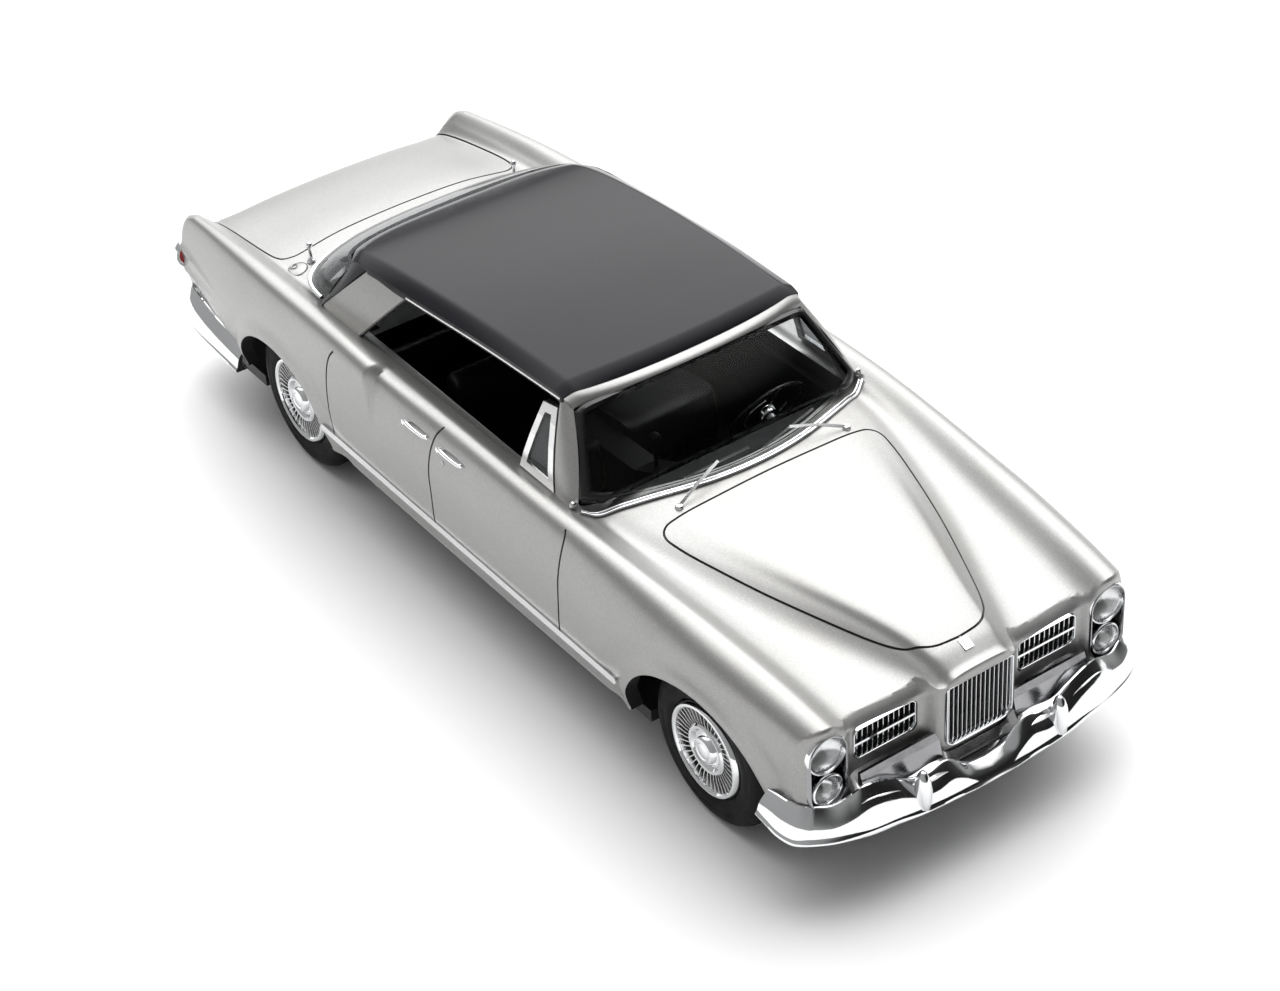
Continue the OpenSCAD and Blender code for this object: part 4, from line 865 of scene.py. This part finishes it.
# ---------------------------------------------------------------- bumpers
# Path keys on the left half: (y, x, height of the bar's middle, half height).
FRONT_BAR = [(0, 59.0, 7.95, 0.75), (2.2, 59.0, 8.15, 0.95), (3.6, 58.95, 8.7, 1.5), (4.8, 58.9, 9.0, 1.8),
             (6.6, 58.9, 8.9, 1.55), (8.6, 58.8, 9.1, 1.65), (11, 58.6, 9.75, 2.1), (13.6, 58.3, 10.0, 2.3),
             (15.4, 57.95, 9.8, 1.85), (17, 57.45, 9.65, 1.6), (18.6, 56.7, 9.8, 1.65)]
REAR_BAR = [(0, -59.0, 9.6, 2.0), (8, -58.95, 9.6, 2.0), (15, -58.6, 9.6, 2.0), (17.9, -57.8, 9.6, 2.0)]
BAR_FACE = [(-0.35, -1.0), (0.8, -1.0), (1.16, -0.98), (1.3, -0.9), (1.3, -0.8), (1.18, -0.71), (1.06, -0.6),
            (0.96, -0.4), (0.86, -0.15), (0.7, 0.1), (0.5, 0.3), (0.22, 0.52), (-0.05, 0.72), (-0.3, 0.9),
            (-0.45, 0.99), (-0.6, 1.0), (-0.66, 0.93), (-0.55, 0.8), (-0.2, 0.5), (0.1, 0.2), (0.3, -0.3),
            (0.1, -0.85), (-0.35, -0.88)]


def bumper(keys, ends, fwd):
    """A pressed bar round one end: domed face, rolled top edge and a flat lip along the bottom."""
    last = keys[-1][0]
    half = []
    for k in range(71):
        y = last * k / 70
        half.append((float(keyed(keys, y, 1)), y, math.radians((k / 70) ** 5 * 50), float(keyed(keys, y, 2)),
                     float(keyed(keys, y, 3)), 1.0))
    tail = chain([(half[-1][0], last, 50, half[-1][3], half[-1][4], 1.0)] + ends, 8)[1:]
    half += [(x, y, math.radians(a), z, h, d) for x, y, a, z, h, d in tail]
    rows = [(x, -y, -a, z, h, d) for x, y, a, z, h, d in half[:0:-1]] + half
    return loft([[(x + q * d * fwd * math.cos(a), y + q * d * math.sin(a), z + v * h) for q, v in BAR_FACE]
                 for x, y, a, z, h, d in rows])


def overrider():
    """Bullet that stands on the bar, rounder in front than behind."""
    shape = [(0.12, 0), (0.62, 0.08), (0.9, 0.5), (1.0, 1.4), (0.98, 2.5), (0.84, 3.4), (0.6, 4.05), (0.34, 4.35),
             (0.08, 4.45)]
    a = np.arange(28) * 2 * np.pi / 28
    return loft([np.stack([r * 1.05 * np.cos(a) * np.where(np.cos(a) > 0, 1, 0.7), r * 0.82 * np.sin(a),
                           np.full(28, h)], 1) for r, h in shape])


add("front_bumper_bar", bumper(FRONT_BAR, [(55.9, 19.45, 70, 9.8, 1.8, 0.95), (54.6, 19.95, 82, 9.95, 1.65, 0.92),
                                           (53.2, 20.08, 88, 10.15, 1.4, 0.9), (51.9, 20.1, 90, 10.2, 1.15, 0.9)], 1),
    CHROME, replaces=["front_bumper"], angle=40)
add("rear_bumper_bar", bumper(REAR_BAR, [(-56.9, 18.9, 64, 9.55, 1.95, 0.95), (-55.4, 19.6, 76, 9.5, 1.9, 0.92),
                                         (-51.5, 20.0, 88, 9.2, 1.7, 0.9), (-47, 20.1, 90, 8.9, 1.5, 0.9),
                                         (-42.8, 20.1, 90, 8.6, 1.4, 0.9)], -1),
    CHROME, replaces=["rear_bumper"], angle=40)
bullet = placed(overrider(), Matrix.Translation((59.28, 8.1, 7.5)))
add("overrider_bullets", both(bullet), CHROME, replaces=["overriders"], angle=60)


def build_tray():
    """Bright foil tray behind the front bar: it rises to the fascia and dips under the middle grille."""
    y = np.linspace(-18.2, 18.2, 121)
    w = np.abs(y)
    back_z = keyed([(0, 9.9), (3.6, 10.2), (5, 11.8), (9, 12.2), (13.5, 12.0), (14.6, 10.2), (18.2, 10.0)], w)
    front_z = keyed([(0, 7.9), (3.2, 8.3), (5, 10.0), (8.6, 9.9), (11, 10.9), (13.6, 11.3), (15.4, 10.6),
                     (18.2, 10.3)], w)
    back_x = keyed([(0, 57.2), (4.5, 57.0), (5.4, 56.0), (13, 55.6), (18.2, 55.4)], w)
    front_x = keyed([(0, 59.2), (8, 59.0), (14, 58.5), (18.2, 57.2)], w)
    t = np.linspace(0, 1, 9)[:, None]
    sag = 0.45 * np.sin(np.pi * t)
    grid = np.stack([back_x * (1 - t) + front_x * t, np.broadcast_to(y, (9, len(y))),
                     back_z * (1 - t) + front_z * t - sag], -1)
    add("bumper_tray", sheet(grid, grid - (0, 0, 0.35)), FOIL, angle=60)


build_tray()


# ---------------------------------------------------------------- small trim
def door_handle(x):
    """A tapering blade on two feet with a push button at its front end."""
    t = np.linspace(0, 1, 17)
    s = line_at(x + 4.3 * t, np.full(17, 20.7), 2, 5.2, 9)
    p, n = skin(x + 4.3 * t, s), skin_normal(x + 4.3 * t, s)
    blade = sweep(p + n * (0.18 + 0.28 * np.sin(np.pi * np.clip(t, 0.04, 0.96)) ** 0.5)[:, None],
                  np.array([circle(0.24 * (1 - 0.45 * k) * min(1, 0.35 + 6 * k, 0.35 + 6 * (1 - k)), 10, 1.3)
                            for k in t]), (0, 0, 1))
    feet = [rod(p[i] - 0.4 * n[i], p[i] + 0.32 * n[i], 0.26 if i < 5 else 0.17) for i in (2, 14)]
    button = rod(p[1] - 0.4 * n[1] + (-0.15, 0, -0.05), p[1] + 0.5 * n[1] + (-0.15, 0, -0.05), 0.3)
    return joined([blade, button] + feet)


def build_trim():
    handles = [both(door_handle(x)) for x in (-5.5, 0.8)]
    add("door_handle_blades", joined(handles), CHROME, replaces=["door_handles"], angle=50)
    x = np.array([LOCK_X])
    s = line_at(x, [19.4], 2, 6, 10)
    p, n = skin(x, s)[0], skin_normal(x, s)[0]
    add("door_locks", both(rod(p - 0.3 * n, p + 0.06 * n, 0.27)), DARK_CHROME)
    # Wipers: a flat arm from a pivot on the cowl to the middle of a thin blade that lies on the glass.
    for side, foot_y, mid_s, reach in (("right", -9.8, -0.24, 0.21), ("left", 10.3, 0.28, 0.22)):
        foot = np.array([26.0, foot_y, float(top_z(26.0, foot_y)[0]) + 0.1])
        mid = screen(0.1, mid_s) + (0.5, 0, 0.45)
        ends = [screen(u, mid_s + d) + (0.5, 0, 0.45) for u, d in ((0.05, -reach), (0.11, reach))]
        arm = sweep([foot + (0, 0, 0.1), (foot + mid) / 2 + (0.1, 0, 0.35), mid],
                    [(-0.16, -0.05), (0.16, -0.05), (0.13, 0.06), (-0.13, 0.06)], (0.6, 0, 0.8))
        blade = sweep(np.linspace(ends[0], ends[1], 9),
                      [(-0.12, -0.14), (0.12, -0.14), (0.09, 0.1), (-0.09, 0.1)], (0.7, 0, 0.7))
        pivot = placed(lathe([(0.0, -0.4), (0.42, -0.4), (0.42, 0.05), (0.3, 0.22), (0.0, 0.26)], 20),
                       Matrix.Translation(foot))
        add(f"wiper_{side}_arm", joined([arm, blade, pivot]), FOIL, replaces=[f"wiper_{side}"])
    mast = lathe([(0.0, -0.6), (0.5, -0.6), (0.5, 0.1), (0.36, 0.35), (0.2, 0.5), (0.17, 1.7), (0.3, 1.85), (0.36, 2.1),
                  (0.26, 2.35), (0.0, 2.45)], 20)
    at = (-36.5, 13.2, float(top_z(-36.5, 13.2)[0]))
    add("aerial_masts", both(placed(mast, Matrix.Translation(at))), CHROME, replaces=["aerials"],
        angle=50)
    flap = lathe([(0.0, -0.3), (1.12, -0.3), (1.12, 0.02), (1.04, 0.08), (0.5, 0.12), (0.0, 0.13)], 40)
    dark = lathe([(0.0, -0.3), (1.22, -0.3), (1.22, -0.0), (0.0, -0.0)], 40)
    dip = placed(lathe([(0.34, 0.1), (0.42, 0.16), (0.36, 0.22), (0.28, 0.16), (0.34, 0.1)], 20),
                 Matrix.Translation((-0.55, 0, 0)))
    at = facing(skin_normal(np.array([-36.6]), line_at([-36.6], [15.0], 1, 0, 5))[0],
                (-36.6, 15.0, float(top_z(-36.6, 15.0)[0]) + 0.03), (0, 1, 0))
    add("filler_flaps", both(placed(joined([flap, dip]), at)), PAINT, replaces=["fuel_flaps"],
        angle=50)
    add("filler_flap_gaps", both(placed(dark, at)), WASH)
    at = facing(skin_normal(np.array([55.3]), np.array([0.0]))[0], (55.5, 0, float(top_z(55.5, 0)[0])), (0, 1, 0))
    plate = prism(rounded_box(0.62, 0.5, 0.06, 2), -0.2, 0.1, "Z")
    relief = [prism(rounded_box(0.05, 0.32, 0.02, 2) + (x, 0), 0.05, 0.16, "Z") for x in (-0.34, -0.12, 0.1, 0.32)]
    add("bonnet_badge", placed(plate, at), CHROME, replaces=["hood_badge"])
    add("bonnet_badge_relief", placed(joined(relief), at), DARK_CHROME)


build_trim()


# ---------------------------------------------------------------- interior
def seat(x, length, cushion_z, back_z, lean, y0, y1, channels):
    """Seat with a rolled front edge, leaning back and stitched channels across it."""
    side = chain([(x + 0.2, 6.6), (x + length, 6.6), (x + length + 0.2, cushion_z - 1.4), (x + length - 0.7, cushion_z),
                  (x + 4.2, cushion_z - 0.5), (x + 3.4, cushion_z), (x + 2.9 - lean * 0.6, back_z - 1.4),
                  (x + 2.2 - lean, back_z), (x + 0.9 - lean, back_z - 0.2), (x + 0.4 - lean * 0.7, back_z - 1.6),
                  (x + 0.2, 6.6)], 5)[:-1]
    middle = side.mean(0)
    rings = []
    for t in np.linspace(0, 1, channels * 6 + 1):
        edge = min(t, 1 - t) * (y1 - y0)
        shrink = 1 - 0.05 * max(0, 1 - edge / 0.9) ** 2 - 0.012 * abs(math.cos(math.pi * channels * t)) ** 6
        rings.append([(*(middle + (q - middle) * shrink), ) for q in side])
    ys = np.linspace(y0, y1, channels * 6 + 1)
    return loft([[(px, y, pz) for px, pz in ring] for ring, y in zip(rings, ys)])


def build_interior():
    for side, sign in (("right", -1), ("left", 1)):
        cushion = seat(-9.5, 10.2, 12.6, 20.5, 1.6, sign * 7.4 - 5.6, sign * 7.4 + 5.6, 7)
        add(f"front_seat_{side}_channels", cushion, VINYL, replaces=[f"front_seat_{side}"],
            angle=60)
    add("rear_bench_channels", seat(-20.6, 9.0, 12.4, 18.5, 0.6, -14.1, 14.1, 16), VINYL, replaces=["rear_seat"],
        angle=60)
    hub, tilt = Vector((15.6, 8.5, 19.9)), math.radians(62)
    at = facing((-math.sin(tilt), 0, math.cos(tilt)), hub, (0, 1, 0))
    a = np.arange(72) * 2 * np.pi / 72
    rim = sweep(np.stack([4.3 * np.cos(a), 4.3 * np.sin(a), 0 * a], 1), circle(0.22, 12), (0, 0, 1), closed=True)
    a = np.linspace(math.radians(200), math.radians(340), 40)
    horn = sweep(np.stack([2.6 * np.cos(a), 2.6 * np.sin(a), 0 * a + 0.1], 1), circle(0.09, 8), (0, 0, 1))
    spokes = [rod((0.5 * k, 0, 0.05), (4.2 * k, 0, 0), 0.16, 0.13) for k in (-1, 1)]
    boss = lathe([(0.0, -0.5), (0.9, -0.5), (0.95, 0.0), (0.8, 0.25), (0.5, 0.42), (0.0, 0.5)], 32)
    add("steering_rim", placed(rim, at), SEAL, replaces=["steering_wheel"], angle=60)
    add("steering_horn_ring", placed(joined([horn, boss] + spokes), at), CHROME, angle=50)
    column = [rod((0, 0, -0.5), (0, 0, -2.6), 0.55), rod((0, 0, -1.2), (2.6, 0.9, -1.0), 0.12, 0.1),
              rod((0, 0, -1.2), (-2.6, 0.9, -1.0), 0.12, 0.1)]
    add("steering_column_stalks", placed(joined(column), at), DARK_CHROME, replaces=["steering_column"])
    dials = [placed(lathe([(0.0, -0.1), (0.75, -0.1), (0.75, 0.12), (0.62, 0.2), (0.58, 0.1), (0.0, 0.08)], 28),
                    facing((-1, 0, 0.15), (17.75, y, 19.3))) for y in (6.6, 8.5, 10.4, 2.2, 0.2)]
    add("dash_dials", joined(dials), DARK_CHROME)


build_interior()

# ---------------------------------------------------------------- finishes of the CAD nodes that stay
KEPT = {
    "chassis_plate": CHASSIS, "exhaust_pipes": STEEL, "base_screws": STEEL, "front_axle": STEEL, "rear_axle": STEEL,
    "front_valance": DARK_CHROME, "number_plate": SEAL, "interior_tub": VINYL, "dashboard": VINYL,
    "centre_console": VINYL, "sill_trim_left": FOIL, "sill_trim_right": FOIL, "vent_frame_left": FOIL,
    "vent_frame_right": FOIL, "vent_glass_left": SMOKE, "vent_glass_right": SMOKE,
}
for node, finish in KEPT.items():
    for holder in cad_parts[node].material_slots:
        holder.material = finish


# ---------------------------------------------------------------- studio
def lit_from(nodes, links, direction, stops):
    """Brightness that depends on how near a world direction is to a given one."""
    coord = nodes.new("ShaderNodeTexCoord")
    dot = nodes.new("ShaderNodeVectorMath")
    dot.operation = "DOT_PRODUCT"
    links.new(coord.outputs["Generated"], dot.inputs[0])
    dot.inputs[1].default_value = Vector(direction).normalized()
    return ramp(nodes, links, dot.outputs["Value"], stops)


def studio():
    """White sweep, one wide soft box high behind the car's left side and a darker room in front."""
    corners = np.array([(-1, -1, 0), (1, -1, 0), (1, 1, 0), (-1, 1, 0)], float) * FLOOR_HALF
    white = finish_of("white_floor", (0.93, 0.93, 0.93), 0.6, shade=0.008, wear=0.05, grain=0.01, grain_scale=900,
                      patch_scale=6)
    floor = mesh_of("floor", (corners, [(0, 1, 2, 3)]), [white])
    bpy.context.scene.collection.objects.link(floor)
    world = bpy.data.worlds.new("studio")
    bpy.context.scene.world = world
    world.use_nodes = True
    nodes, links = world.node_tree.nodes, world.node_tree.links
    box = lit_from(nodes, links, (-0.43, 0.35, 0.83), [(0.0, 0.0), (0.60, 0.01), (0.86, 0.72), (1.0, 1.0)])
    room = lit_from(nodes, links, (0.80, 0.45, 0.30), [(0.0, 0.09), (0.70, 0.07), (0.85, 0.008), (1.0, 0.004)])
    total = nodes.new("ShaderNodeMix")
    total.data_type, total.blend_type = "RGBA", "ADD"
    total.inputs["Factor"].default_value = 1.0
    links.new(box, total.inputs["A"])
    links.new(room, total.inputs["B"])
    links.new(total.outputs["Result"], nodes["Background"].inputs["Color"])
    nodes["Background"].inputs["Strength"].default_value = WORLD_STRENGTH
    bpy.context.scene.view_settings.view_transform = "Standard"
    cam = bpy.data.cameras.new("camera")
    view = bpy.data.objects.new("camera", cam)
    bpy.context.scene.collection.objects.link(view)
    view.location = (0.20354, -0.13100, 0.18400)
    view.rotation_euler = [math.radians(a) for a in (51.882, 3.136, 54.310)]
    cam.sensor_width, cam.lens = 36.0, 80.66
    cam.shift_y = 0.0576
    cam.clip_start, cam.clip_end = 0.01, 10
    bpy.context.scene.camera = view


studio()
